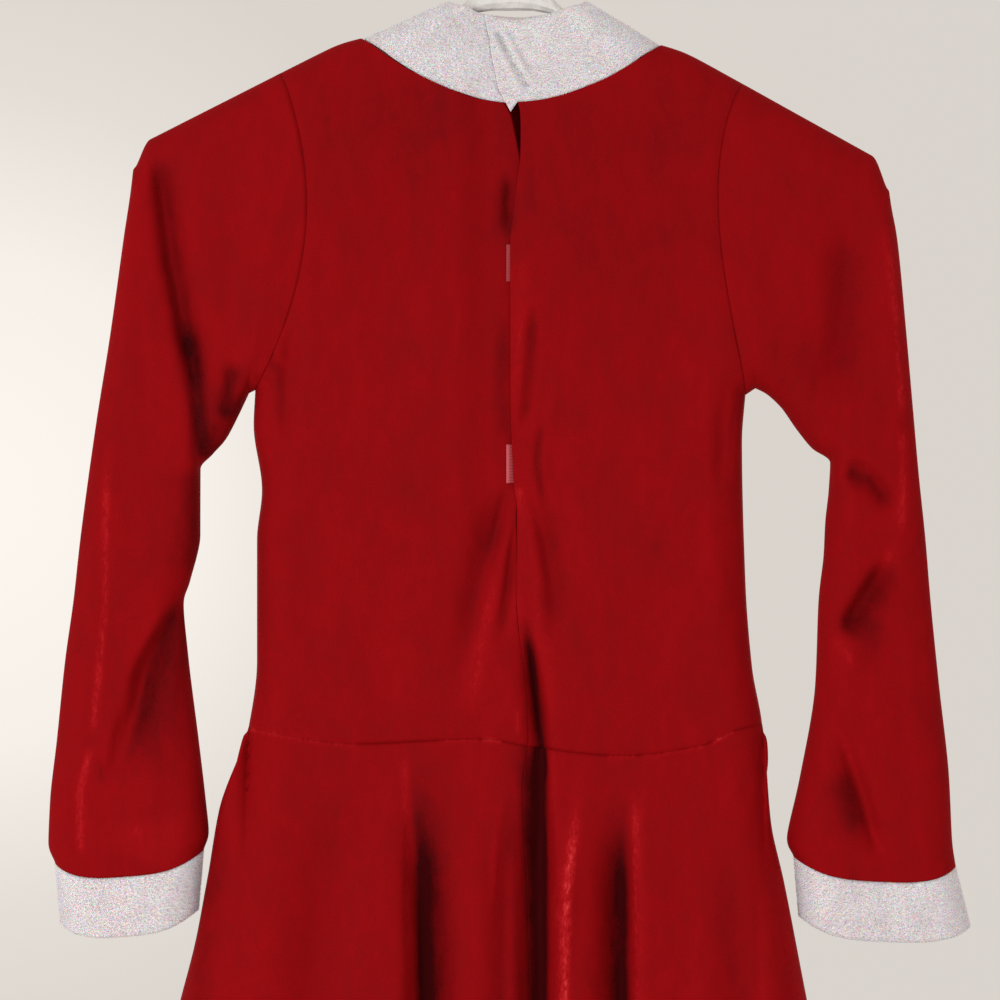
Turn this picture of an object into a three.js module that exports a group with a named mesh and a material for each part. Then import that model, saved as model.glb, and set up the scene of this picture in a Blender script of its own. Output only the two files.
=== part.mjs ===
// Child's red velvet helper dress with white plush collar and cuffs, on a plastic hanger.
// Millimetres, +Z up. The origin is the bearing point inside the top of the hanger's hook.
// The fastened back of the dress faces -Y, its front faces +Y.

import * as THREE from 'three';

// Driving sizes of the cloth
const VELVET = 1.8;          // wall of the velvet with its pile
const PLUSH = 3.5;           // wall of the plush, out to the tips of its pile
const TAPE = 1.5;            // hook-and-loop tape
const SEAM = 0.3;            // gap between pieces that are sewn together
const LAP_STEP = 4.0;        // how far the underlap lies behind the overlap
const SEAM_CLEAR = 0.5;      // gap where two curved edges meet
const COLLAR_CLEAR = 1.0;    // gap where the thick plush meets the neckline

// Bodice
const NECK_HALF = 90;        // neck point from the middle
const NECK_MID_Z = -100.2;   // height of the neck points, between left and right
const TILT = 0.024;          // the hanger hangs a little lower on the right
const SHOULDER_X = 139;      // shoulder tip from the middle
const SHOULDER_SLOPE = 0.25;
const SHOULDER_DROP = 0.28;  // added slope beyond the bend
const SHOULDER_BEND = 13;    // how far out from the neck point the shoulder bends
const ARMHOLE_BOW_LEFT = 24; // how far each armhole seam bows towards the middle
const ARMHOLE_BOW_RIGHT = 17;
const WAIST_LEFT_X = -158;   // where the waist seam meets the sides
const WAIST_RIGHT_X = 150;
const BODICE_DEPTH = 17;     // half the depth of the hanging bodice
const EDGE_ROUND = 24;       // how far in from an edge the cloth turns
const BACK_NECK_DROP = 38.5;
const FRONT_NECK_DROP = 37;

// Skirt
const HEM_Z = -790;
const HEM_RISE = 6;          // the hem lifts at the sides
const HEM_DEPTH = 42;        // half the depth at the hem
const HEM_ROUND = 62;
const HEM_LEFT_X = -228;
const HEM_RIGHT_X = 200;

// Collar
const COLLAR_TOP_LEFT = -39;
const COLLAR_TOP_RIGHT = 45;
const COLLAR_PEAK_Z = -76;
const COLLAR_BACK_DIP = 13;
const COLLAR_FRONT_DIP = 7;
const COLLAR_DEPTH = 13;
const COLLAR_BULGE = 1.6;

// Cuffs
const CUFF_HEIGHT = 36;

// Tapes of the back opening
const TAPE_LEFT_X = -3.4;
const TAPE_RIGHT_X = 8.6;
const TAPE_UPPER = { top: -223, low: -245 };
const TAPE_LOWER = { top: -342, low: -365 };

// Hanger
const ARM_END = 211;
const ARM_HEIGHT = 12;
const ARM_HALF_DEPTH = 4;
const ARM_TOP_Z = -74.4;     // where the arms' top lines would meet
const HUB_TOP_Z = -62;
const HUB_HALF = 14;         // half the raised middle
const HUB_FALL = 30;         // over which its top comes down to the arms
const HUB_LOW_Z = -81.5;
const HUB_LOW_HALF = 16;     // half the level part of its underside
const HUB_LOW_FALL = 20;
const ARM_SLOPE = 0.34;
const ARM_DROP = 0.172;      // added slope near the ends of the arms
const ARM_BEND = 112;        // where that slope begins
const HOOK_ROD = 3.5;        // radius of the hook's rod
const HOOK_INNER = 19;       // radius inside the hook

// Divisions of the walls
const ARM_ROWS = 11;
const SIDE_ROWS = 9;
const HALF_COLS = 18;
const NECK_COLS = 11;
const FRONT_COLS = 24;
const FRONT_SHOULDER_COLS = 4;
const SKIRT_ROWS = 9;

const RED = 0xa3151b;
const WHITE = 0xe6dcdc;

const velvet = () => new THREE.MeshStandardMaterial({ color: RED, roughness: 0.85, metalness: 0 });
const plush = () => new THREE.MeshStandardMaterial({ color: WHITE, roughness: 0.95, metalness: 0 });
const plastic = () => new THREE.MeshStandardMaterial({ color: 0xe9e7e3, roughness: 0.4, metalness: 0 });
const tapeCloth = () => new THREE.MeshStandardMaterial({ color: 0xd98f8f, roughness: 0.9, metalness: 0 });

// Small helpers

const lerp = (a, b, t) => a + (b - a) * t;
const clamp01 = (t) => Math.min(Math.max(t, 0), 1);

function ease(t) {
  const s = clamp01(t);
  return s * s * (3 - 2 * s);
}

// A corner that bends smoothly from level to a slope of one at x = 0.
function softRamp(x, width) {
  return width * Math.log(1 + Math.exp(x / width));
}

// Smooth value from a table of rows { at, is }, sorted by falling at, without overshoot.
function fromTable(table, at) {
  const last = table.length - 1;
  if (at >= table[0].at) return table[0].is;
  if (at <= table[last].at) return table[last].is;
  const pitch = (i) => (table[i + 1].is - table[i].is) / (table[i + 1].at - table[i].at);
  const slope = (i) => {
    if (i === 0) return pitch(0);
    if (i === last) return pitch(last - 1);
    const a = pitch(i - 1);
    const b = pitch(i);
    return a * b <= 0 ? 0 : (2 * a * b) / (a + b);
  };
  let i = 0;
  while (at < table[i + 1].at) i += 1;
  const step = table[i + 1].at - table[i].at;
  const t = (at - table[i].at) / step;
  const bend = slope(i) * step * t * (1 - t) ** 2 - slope(i + 1) * step * t * t * (1 - t);
  return lerp(table[i].is, table[i + 1].is, ease(t)) + bend;
}

// Cloth turns round an edge in a quarter circle: 0 at the edge, 1 from width on.
function turned(distance, width) {
  const s = clamp01(distance / width);
  return Math.sqrt(1 - (1 - s) ** 2);
}

// Folds: each row is a soft trough along top, middle and low points [x, z], with a width
// to its left and to its right, a depth, and the share of its length over which it fades.
const FOLD_COLUMNS = ['top', 'mid', 'low', 'left', 'right', 'depth', 'fadeIn', 'fadeOut'];

function foldTable(rows) {
  return rows.map((row) => Object.fromEntries(FOLD_COLUMNS.map((name, i) => [name, row[i]])));
}

function foldDepth(rows, x, z) {
  let sum = 0;
  for (const row of rows) {
    const route = [row.top, row.mid, row.low];
    let best = { distance: Infinity, t: 0, left: false };
    for (let k = 0; k < 2; k += 1) {
      const [ax, az] = route[k];
      const [bx, bz] = route[k + 1];
      const lengthSq = (bx - ax) ** 2 + (bz - az) ** 2;
      const t = clamp01(((x - ax) * (bx - ax) + (z - az) * (bz - az)) / lengthSq);
      const px = lerp(ax, bx, t);
      const pz = lerp(az, bz, t);
      const distance = Math.hypot(x - px, z - pz);
      if (distance < best.distance) best = { distance, t: (k + t) / 2, left: x < px };
    }
    const width = best.left ? row.left : row.right;
    const along = ease(best.t / row.fadeIn) * ease((1 - best.t) / row.fadeOut);
    sum += row.depth * along * Math.exp(-((best.distance / width) ** 2));
  }
  return sum;
}

// Outlines of the hanging dress, seen from behind

const NECK_LEFT_X = -NECK_HALF;
const NECK_RIGHT_X = NECK_HALF;

// Shoulder line, carried on over the top of the sleeves.
function shoulderZ(x) {
  const out = Math.abs(x) - NECK_HALF;
  const bend = SHOULDER_DROP * softRamp(out - SHOULDER_BEND, 4);
  return NECK_MID_Z - SHOULDER_SLOPE * out - bend - TILT * x;
}

const UNDERARM_LEFT = { x: -154, z: -309 };
const UNDERARM_RIGHT = { x: 140, z: -312 };

const SIDE_LEFT = [
  { at: -309, is: -154 },
  { at: -330, is: -155 },
  { at: -369, is: -150 },
  { at: -399, is: -153 },
  { at: -471, is: -153 },
  { at: -511, is: WAIST_LEFT_X },
  { at: -560, is: -175 },
  { at: -603, is: -183 },
  { at: -640, is: -190 },
  { at: -675, is: -199 },
  { at: HEM_Z, is: HEM_LEFT_X },
];
const SIDE_RIGHT = [
  { at: -312, is: 140 },
  { at: -340, is: 138 },
  { at: -423, is: 140 },
  { at: -475, is: 144 },
  { at: -509, is: WAIST_RIGHT_X },
  { at: -567, is: 155 },
  { at: -603, is: 163 },
  { at: -675, is: 177 },
  { at: HEM_Z, is: HEM_RIGHT_X },
];

// Armhole seams bow towards the middle of the back.
function armholeX(z, left) {
  const under = left ? UNDERARM_LEFT : UNDERARM_RIGHT;
  const tipX = left ? -SHOULDER_X : SHOULDER_X;
  const tipZ = shoulderZ(tipX);
  const s = clamp01((tipZ - z) / (tipZ - under.z));
  const bowLeft = ARMHOLE_BOW_LEFT * Math.sin(Math.PI * s) ** 0.8;
  const bowRight = -ARMHOLE_BOW_RIGHT * Math.sin(Math.PI * s ** 0.7);
  return lerp(tipX, under.x, s) + (left ? bowLeft : bowRight);
}

function outerX(z, left) {
  const under = left ? UNDERARM_LEFT : UNDERARM_RIGHT;
  if (z > under.z) return armholeX(z, left);
  return fromTable(left ? SIDE_LEFT : SIDE_RIGHT, z);
}

function neckZ(x, drop) {
  const t = Math.abs(x) / NECK_HALF;
  return NECK_MID_Z - TILT * x - drop * (1 - Math.min(t, 1) ** 1.9);
}

const WAIST = [
  { at: WAIST_RIGHT_X, is: -509 },
  { at: 133, is: -512 },
  { at: 112, is: -521 },
  { at: 65, is: -527 },
  { at: 14, is: -522 },
  { at: -19, is: -517 },
  { at: -91, is: -520 },
  { at: WAIST_LEFT_X, is: -511 },
];
const waistZ = (x) => fromTable(WAIST, x);

// Back opening: the left back runs under the right back down to the lower tape,
// and a centre seam joins them from there to the hem.
const LEFT_BACK_EDGE = [
  { at: -136, is: -8 },
  { at: -162, is: 1 },
  { at: -190, is: 8 },
  { at: -225, is: 10.8 },
  { at: -364, is: 11 },
  { at: -380, is: 2.8 },
  { at: -430, is: 2.4 },
  { at: -489, is: 8.4 },
  { at: -516, is: 9.6 },
  { at: -545, is: 6 },
  { at: -605, is: 9 },
  { at: HEM_Z, is: 13 },
];
const RIGHT_BACK_EDGE = [
  { at: -138, is: 4.8 },
  { at: -168, is: 5 },
  { at: -225, is: -1.2 },
  { at: -300, is: -1.2 },
  { at: -364, is: 0.8 },
  { at: -380, is: 2.8 },
  { at: -430, is: 2.4 },
  { at: -489, is: 8.4 },
  { at: -516, is: 9.6 },
  { at: -545, is: 6 },
  { at: -605, is: 9 },
  { at: HEM_Z, is: 13 },
];

// Largest folds of the bodice back
const BACK_FOLDS = foldTable([
  [[-3, -367], [-19, -418], [-33, -495], 9, 7, 6, 0.3, 0.4],
  [[1, -388], [-3, -432], [-9, -470], 4, 4, 2.5, 0.3, 0.4],
  [[7, -440], [16, -495], [20, -560], 8, 4, 8, 0.4, 0.3],
  [[18, -370], [25, -421], [27, -470], 6, 7, 5, 0.3, 0.4],
  [[-130, -258], [-134, -310], [-138, -372], 5, 6, 4, 0.3, 0.4],
  [[127, -300], [126, -335], [124, -375], 5, 5, 3, 0.4, 0.4],
]);
// Like folds on the front, which the picture hides
const FRONT_FOLDS = foldTable([
  [[-125, -262], [-130, -312], [-133, -380], 6, 7, 4, 0.3, 0.4],
  [[122, -270], [124, -318], [121, -390], 7, 6, 4, 0.3, 0.4],
  [[-38, -400], [-44, -455], [-52, -530], 9, 9, 3.5, 0.5, 0.3],
  [[46, -410], [54, -460], [60, -535], 9, 8, 3.5, 0.5, 0.3],
]);

// Folds of the flared skirt, back
const SKIRT_BACK_FOLDS = foldTable([
  [[-104, -520], [-116, -650], [-130, -800], 15, 15, 7, 0.5, 0.01],
  [[-60, -525], [-52, -640], [-48, -800], 8, 15, 18, 0.5, 0.01],
  [[-4, -530], [-6, -640], [-8, -800], 9, 6, 5, 0.4, 0.01],
  [[15, -505], [15, -620], [17, -800], 14, 8, 18, 0.35, 0.01],
  [[62, -530], [63, -640], [66, -800], 12, 8, 15, 0.4, 0.01],
  [[122, -540], [134, -660], [148, -800], 13, 12, 7, 0.6, 0.01],
]);
// Folds of the skirt front, hidden in the picture
const SKIRT_FRONT_FOLDS = foldTable([
  [[-118, -520], [-132, -650], [-150, -800], 14, 12, 10, 0.5, 0.01],
  [[-72, -522], [-78, -640], [-86, -800], 13, 13, 15, 0.5, 0.01],
  [[-22, -520], [-20, -640], [-18, -800], 12, 13, 13, 0.5, 0.01],
  [[30, -522], [36, -640], [42, -800], 12, 14, 17, 0.5, 0.01],
  [[86, -524], [96, -640], [108, -800], 13, 13, 12, 0.5, 0.01],
]);

// Half depth of the bodice at a point of its outline plane
function bodiceDepth(x, z) {
  const left = x < 0;
  const under = left ? UNDERARM_LEFT : UNDERARM_RIGHT;
  const out = Math.abs(x);
  const fromShoulder = out >= NECK_HALF
    ? shoulderZ(x) - z
    : Math.hypot(NECK_HALF - out, shoulderZ(left ? NECK_LEFT_X : NECK_RIGHT_X) - z);
  const fromSide = z > under.z
    ? Math.hypot(x - under.x, z - under.z)
    : Math.abs(outerX(z, left) - x);
  return BODICE_DEPTH * turned(Math.min(fromShoulder, fromSide), EDGE_ROUND);
}

// Underlap of the left back, from the neck to just below the lower tape
function lapPush(x, z) {
  const below = 1 - ease((-382 - z) / 45);
  return LAP_STEP * ease((x + 34) / 20) * below;
}

function backY(x, z, lapped) {
  const depth = bodiceDepth(x, z);
  const share = depth / BODICE_DEPTH;
  const push = foldDepth(BACK_FOLDS, x, z) + (lapped ? lapPush(x, z) : 0);
  return -Math.max(depth - push * share, SEAM / 2);
}

function frontY(x, z) {
  const depth = bodiceDepth(x, z);
  const share = depth / BODICE_DEPTH;
  return Math.max(depth - foldDepth(FRONT_FOLDS, x, z) * share, SEAM / 2);
}

// Skirt

function skirtY(x, z, folds, centreFolds) {
  const t = clamp01((waistZ(x) - z) / (waistZ(x) - HEM_Z));
  const edge = outerX(z, x < 0);
  const flare = lerp(BODICE_DEPTH, HEM_DEPTH, t ** 0.8);
  const round = lerp(EDGE_ROUND, HEM_ROUND, t);
  const share = turned(Math.abs(edge - x), round);
  const push = foldDepth(folds, x, z) + foldDepth(centreFolds, x, z);
  return Math.max((flare - push) * share, SEAM / 2);
}

// Walls

const vec = (x, y, z) => new THREE.Vector3(x, y, z);

// Outward unit normals of a grid of points, each turned to face the side of outward(point).
function gridNormals(points, wrap, outward) {
  const rows = points.length;
  const cols = points[0].length;
  return points.map((row, i) => row.map((point, j) => {
    const up = points[Math.max(i - 1, 0)][j];
    const down = points[Math.min(i + 1, rows - 1)][j];
    const before = wrap ? row[(j + cols - 1) % cols] : row[Math.max(j - 1, 0)];
    const after = wrap ? row[(j + 1) % cols] : row[Math.min(j + 1, cols - 1)];
    const normal = down.clone().sub(up).cross(after.clone().sub(before)).normalize();
    return normal.dot(outward(point)) < 0 ? normal.negate() : normal;
  }));
}

// Takes one axis out of a normal, so that a seam's cut face stays in its plane.
function flatten(normal, axis) {
  normal[axis] = 0;
  normal.normalize();
}

// A closed wall: the grid outside, the same grid moved in by the thickness, and the edges.
function wallGeometry(points, normals, wrap, thickness) {
  const rows = points.length;
  const cols = points[0].length;
  const positions = [];
  const index = [];
  for (const row of points) for (const p of row) positions.push(p.x, p.y, p.z);
  points.forEach((row, i) => row.forEach((p, j) => {
    const inner = p.clone().addScaledVector(normals[i][j], -thickness);
    positions.push(inner.x, inner.y, inner.z);
  }));
  const layer = rows * cols;
  const outer = (i, j) => i * cols + (j % cols);
  const inner = (i, j) => layer + outer(i, j);
  const across = points[0][1].clone().sub(points[0][0]);
  const downward = points[1][0].clone().sub(points[0][0]);
  const facesOut = downward.cross(across).dot(normals[0][0]) > 0;
  const quad = (a, b, c, d) => {
    if (facesOut) index.push(a, b, c, a, c, d);
    else index.push(a, c, b, a, d, c);
  };
  const last = wrap ? cols : cols - 1;
  for (let i = 0; i < rows - 1; i += 1) {
    for (let j = 0; j < last; j += 1) {
      quad(outer(i, j), outer(i + 1, j), outer(i + 1, j + 1), outer(i, j + 1));
      quad(inner(i, j), inner(i, j + 1), inner(i + 1, j + 1), inner(i + 1, j));
    }
  }
  for (let j = 0; j < last; j += 1) {
    quad(outer(0, j), outer(0, j + 1), inner(0, j + 1), inner(0, j));
    quad(outer(rows - 1, j), inner(rows - 1, j), inner(rows - 1, j + 1), outer(rows - 1, j + 1));
  }
  if (!wrap) {
    for (let i = 0; i < rows - 1; i += 1) {
      quad(outer(i, 0), inner(i, 0), inner(i + 1, 0), outer(i + 1, 0));
      quad(outer(i, cols - 1), outer(i + 1, cols - 1), inner(i + 1, cols - 1), inner(i, cols - 1));
    }
  }
  const geometry = new THREE.BufferGeometry();
  geometry.setAttribute('position', new THREE.Float32BufferAttribute(positions, 3));
  geometry.setIndex(index);
  geometry.computeVertexNormals();
  return geometry;
}

const dress = new THREE.Group();

function addPiece(name, geometry, material) {
  const mesh = new THREE.Mesh(geometry, material);
  mesh.name = name;
  dress.add(mesh);
}

// Share of the way down for each row: close together where the cloth turns at the
// shoulder and the underarm, even below.
function rowShares(left) {
  const tipZ = shoulderZ(left ? -SHOULDER_X : SHOULDER_X);
  const under = left ? UNDERARM_LEFT : UNDERARM_RIGHT;
  const sideX = left ? WAIST_LEFT_X : WAIST_RIGHT_X;
  const armShare = (tipZ - under.z) / (tipZ - waistZ(sideX));
  const shares = [];
  for (let i = 0; i <= ARM_ROWS; i += 1) {
    shares.push(armShare * (1 - Math.cos((Math.PI * i) / ARM_ROWS)) / 2);
  }
  for (let i = 1; i <= SIDE_ROWS; i += 1) shares.push(lerp(armShare, 1, i / SIDE_ROWS));
  return shares;
}

// Half of the back: columns run from the centre back edge out to the armhole and side.
function backPanel(left) {
  const edge = left ? LEFT_BACK_EDGE : RIGHT_BACK_EDGE;
  const gapX = left ? -SEAM_CLEAR / 2 : SEAM_CLEAR / 2;
  const tipX = left ? -SHOULDER_X : SHOULDER_X;
  const neckX = left ? NECK_LEFT_X : NECK_RIGHT_X;
  const sideX = left ? WAIST_LEFT_X : WAIST_RIGHT_X;
  const centreX = (z) => fromTable(edge, z) + gapX;
  const topX = centreX(neckZ(0, BACK_NECK_DROP));
  const neckShare = (neckX - topX) / (tipX - topX);
  const even = (j) => (j / HALF_COLS) ** 1.15;
  const points = rowShares(left).map((share) => {
    const row = [];
    for (let j = 0; j <= HALF_COLS; j += 1) {
      const atTop = j <= NECK_COLS
        ? neckShare * (j / NECK_COLS)
        : lerp(neckShare, 1, (j - NECK_COLS) / (HALF_COLS - NECK_COLS));
      const xTop = lerp(topX, tipX, atTop);
      const zTop = j <= NECK_COLS ? neckZ(xTop, BACK_NECK_DROP) : shoulderZ(xTop);
      const xLow = lerp(centreX(-517), sideX, even(j));
      const z = lerp(zTop, waistZ(xLow), share);
      const across = lerp(atTop, even(j), ease(share / 0.35));
      const x = lerp(centreX(z), outerX(z, left), across);
      row.push(vec(x, backY(x, z, left), z));
    }
    return row;
  });
  const normals = gridNormals(points, false, () => vec(0, -1, 0.001));
  const lastRow = points.length - 1;
  normals.forEach((row, i) => {
    flatten(row[0], 'x');
    if (i >= ARM_ROWS) flatten(row[HALF_COLS], 'y');
    if (i <= ARM_ROWS) flatten(row[HALF_COLS], 'x');
  });
  for (let j = NECK_COLS; j <= HALF_COLS; j += 1) flatten(normals[0][j], 'y');
  for (let j = 0; j <= HALF_COLS; j += 1) flatten(normals[lastRow][j], 'z');
  return { points, normals };
}

// The front: columns run from the left armhole across to the right one.
function frontPanel() {
  const sharesLeft = rowShares(true);
  const sharesRight = rowShares(false);
  const points = sharesLeft.map((shareLeft, i) => {
    const row = [];
    for (let j = 0; j <= FRONT_COLS; j += 1) {
      const even = j / FRONT_COLS;
      const share = lerp(shareLeft, sharesRight[i], even);
      const inNeck = (j - FRONT_SHOULDER_COLS) / (FRONT_COLS - 2 * FRONT_SHOULDER_COLS);
      let xTop = lerp(NECK_LEFT_X, NECK_RIGHT_X, inNeck);
      if (inNeck < 0) xTop = lerp(-SHOULDER_X, NECK_LEFT_X, j / FRONT_SHOULDER_COLS);
      if (inNeck > 1) xTop = lerp(SHOULDER_X, NECK_RIGHT_X, (FRONT_COLS - j) / FRONT_SHOULDER_COLS);
      const zTop = inNeck < 0 || inNeck > 1 ? shoulderZ(xTop) : neckZ(xTop, FRONT_NECK_DROP);
      const xLow = lerp(WAIST_LEFT_X, WAIST_RIGHT_X, even);
      const z = lerp(zTop, waistZ(xLow), share);
      const atTop = (xTop + SHOULDER_X) / (2 * SHOULDER_X);
      const across = lerp(atTop, even, ease(share / 0.35));
      const x = lerp(outerX(z, true), outerX(z, false), across);
      row.push(vec(x, frontY(x, z), z));
    }
    return row;
  });
  const normals = gridNormals(points, false, () => vec(0, 1, 0.001));
  normals.forEach((row, i) => {
    for (const j of [0, FRONT_COLS]) {
      if (i >= ARM_ROWS) flatten(row[j], 'y');
      if (i <= ARM_ROWS) flatten(row[j], 'x');
    }
  });
  for (let j = 0; j <= FRONT_COLS; j += 1) {
    const onShoulder = j <= FRONT_SHOULDER_COLS || j >= FRONT_COLS - FRONT_SHOULDER_COLS;
    if (onShoulder) flatten(normals[0][j], 'y');
    flatten(normals[points.length - 1][j], 'z');
  }
  return { points, normals };
}

// A skirt piece hangs from the waist edge of the bodice piece above it.
function skirtPanel(bodice, sideOf, edges, folds, centreFolds) {
  const lastRow = bodice.points.length - 1;
  const waist = bodice.points[lastRow];
  const first = waist[0];
  const last = waist[waist.length - 1];
  const points = [waist.map((p) => p.clone().setZ(p.z - SEAM))];
  for (let i = 1; i <= SKIRT_ROWS; i += 1) {
    const share = i / SKIRT_ROWS;
    points.push(waist.map((p) => {
      const across = (p.x - first.x) / (last.x - first.x);
      const hemX = lerp(edges[0](HEM_Z), edges[1](HEM_Z), across);
      const hemZ = HEM_Z + HEM_RISE * (hemX / HEM_RIGHT_X) ** 2;
      const z = lerp(p.z - SEAM, hemZ, share);
      const x = lerp(edges[0](z), edges[1](z), across);
      const bent = skirtY(x, z, folds, centreFolds);
      const blend = ease(share * 3);
      const y = lerp(Math.abs(p.y), bent, blend);
      return vec(x, sideOf * y, z);
    }));
  }
  const normals = gridNormals(points, false, () => vec(0, sideOf, 0.001));
  bodice.normals[lastRow].forEach((normal, j) => normals[0][j].copy(normal));
  return { points, normals };
}

const backLeft = backPanel(true);
const backRight = backPanel(false);
const front = frontPanel();

addPiece('bodice_back_left', wallGeometry(backLeft.points, backLeft.normals, false, VELVET), velvet());
addPiece('bodice_back_right', wallGeometry(backRight.points, backRight.normals, false, VELVET), velvet());
addPiece('bodice_front', wallGeometry(front.points, front.normals, false, VELVET), velvet());

const seamX = (z) => fromTable(LEFT_BACK_EDGE, z);
const leftSide = (z) => outerX(z, true);
const rightSide = (z) => outerX(z, false);

function addSkirt() {
  const leftEdges = [(z) => seamX(z) - SEAM_CLEAR / 2, leftSide];
  const rightEdges = [(z) => seamX(z) + SEAM_CLEAR / 2, rightSide];
  const left = skirtPanel(backLeft, -1, leftEdges, SKIRT_BACK_FOLDS, BACK_FOLDS);
  const right = skirtPanel(backRight, -1, rightEdges, SKIRT_BACK_FOLDS, BACK_FOLDS);
  const whole = skirtPanel(front, 1, [leftSide, rightSide], SKIRT_FRONT_FOLDS, FRONT_FOLDS);
  for (const half of [left, right]) {
    half.normals.forEach((row) => {
      flatten(row[0], 'x');
      flatten(row[HALF_COLS], 'y');
    });
  }
  whole.normals.forEach((row) => {
    flatten(row[0], 'y');
    flatten(row[FRONT_COLS], 'y');
  });
  addPiece('skirt_back_left', wallGeometry(left.points, left.normals, false, VELVET), velvet());
  addPiece('skirt_back_right', wallGeometry(right.points, right.normals, false, VELVET), velvet());
  addPiece('skirt_front', wallGeometry(whole.points, whole.normals, false, VELVET), velvet());
}
addSkirt();

// Sleeves: sections across the flattened tube, from its outer edge to its inner edge.
// onTop puts the outer edge on the shoulder line. bow bends the section towards the body.

const LEFT_SLEEVE = [
  { outX: -169, outZ: 0, inX: -158, inZ: -311, bow: 15, depth: 17, round: 24, onTop: true },
  { outX: -196, outZ: 0, inX: -164, inZ: -324, bow: 8, depth: 16, round: 24, onTop: true },
  { outX: -217, outZ: 0, inX: -172, inZ: -339, bow: 3, depth: 15, round: 24, onTop: true },
  { outX: -227, outZ: -176, inX: -180, inZ: -348, bow: 0, depth: 14, round: 22, onTop: false },
  { outX: -233, outZ: -219, inX: -187, inZ: -357, bow: 0, depth: 14, round: 22, onTop: false },
  { outX: -241, outZ: -276, inX: -187, inZ: -375, bow: 0, depth: 14, round: 22, onTop: false },
  { outX: -250, outZ: -333, inX: -187, inZ: -396, bow: 0, depth: 14, round: 20, onTop: false },
  { outX: -259, outZ: -399, inX: -193, inZ: -423, bow: 0, depth: 15, round: 20, onTop: false },
  { outX: -263, outZ: -435, inX: -197, inZ: -438, bow: 0, depth: 15, round: 20, onTop: false },
  { outX: -268, outZ: -471, inX: -194, inZ: -471, bow: 0, depth: 15, round: 20, onTop: false },
  { outX: -273, outZ: -519, inX: -188, inZ: -519, bow: 0, depth: 16, round: 22, onTop: false },
  { outX: -277, outZ: -555, inX: -184, inZ: -553, bow: 0, depth: 17, round: 22, onTop: false },
  { outX: -278, outZ: -580, inX: -182, inZ: -574, bow: 0, depth: 18, round: 22, onTop: false },
  { outX: -274, outZ: -592, inX: -185, inZ: -585, bow: 0, depth: 18, round: 22, onTop: false },
];
const RIGHT_SLEEVE = [
  { outX: 167, outZ: 0, inX: 146, inZ: -308, bow: 10, depth: 17, round: 24, onTop: true },
  { outX: 194, outZ: 0, inX: 152, inZ: -311, bow: 5, depth: 16, round: 24, onTop: true },
  { outX: 216, outZ: 0, inX: 161, inZ: -319, bow: 2, depth: 15, round: 24, onTop: true },
  { outX: 226, outZ: -189, inX: 171, inZ: -333, bow: 0, depth: 14, round: 22, onTop: false },
  { outX: 231, outZ: -219, inX: 180, inZ: -344, bow: 0, depth: 14, round: 22, onTop: false },
  { outX: 236, outZ: -270, inX: 191, inZ: -353, bow: 0, depth: 14, round: 20, onTop: false },
  { outX: 240, outZ: -315, inX: 190, inZ: -370, bow: 0, depth: 14, round: 20, onTop: false },
  { outX: 244, outZ: -360, inX: 188, inZ: -388, bow: 0, depth: 14, round: 20, onTop: false },
  { outX: 248, outZ: -399, inX: 187, inZ: -408, bow: 0, depth: 15, round: 20, onTop: false },
  { outX: 251, outZ: -435, inX: 184, inZ: -435, bow: 0, depth: 15, round: 20, onTop: false },
  { outX: 256, outZ: -485, inX: 182, inZ: -485, bow: 0, depth: 16, round: 22, onTop: false },
  { outX: 262, outZ: -540, inX: 173, inZ: -540, bow: 0, depth: 17, round: 22, onTop: false },
  { outX: 264, outZ: -580, inX: 165, inZ: -578, bow: 0, depth: 18, round: 22, onTop: false },
  { outX: 266, outZ: -594, inX: 169, inZ: -589, bow: 0, depth: 18, round: 22, onTop: false },
];

const LEFT_SLEEVE_FOLDS = foldTable([
  [[-212, -166], [-203, -232], [-187, -318], 6, 8, 7, 0.2, 0.3],
  [[-192, -428], [-220, -478], [-236, -545], 4, 12, 8, 0.3, 0.4],
]);
const RIGHT_SLEEVE_FOLDS = foldTable([
  [[198, -205], [199, -262], [189, -318], 9, 9, 5, 0.3, 0.3],
  [[195, -357], [214, -365], [230, -384], 6, 6, 5, 0.3, 0.3],
  [[228, -408], [208, -438], [196, -456], 5, 8, 8, 0.3, 0.3],
  [[190, -500], [210, -555], [221, -592], 9, 5, 6, 0.4, 0.3],
]);
const SLEEVE_MIN_DEPTH = 5;
const EDGE_SAG = 10;         // the sleeve's lower edge hangs lower in its middle

// One ring of a sleeve or cuff, back half from the outer edge in, then the front half out.
function flatRing(section, folds, sag) {
  const outZ = section.onTop ? shoulderZ(section.outX) : section.outZ;
  const length = Math.hypot(section.inX - section.outX, section.inZ - outZ);
  const inward = Math.sign(-section.outX);
  const at = (i, side) => {
    const s = (1 - Math.cos((Math.PI * i) / ARM_ROWS)) / 2;
    const x = lerp(section.outX, section.inX, s) + inward * section.bow * Math.sin(Math.PI * s);
    const z = lerp(outZ, section.inZ, s) - sag * (1 - Math.abs(2 * s - 1) ** 3);
    const share = turned(Math.min(s, 1 - s) * length, section.round);
    const push = foldDepth(folds, x, z) * (side < 0 ? 1 : 0.6);
    const depth = Math.max(section.depth - push, SLEEVE_MIN_DEPTH) * share;
    return vec(x, side * depth, z);
  };
  const ring = [];
  for (let i = 0; i <= ARM_ROWS; i += 1) ring.push(at(i, -1));
  for (let i = ARM_ROWS - 1; i > 0; i -= 1) ring.push(at(i, 1));
  return ring;
}

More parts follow.
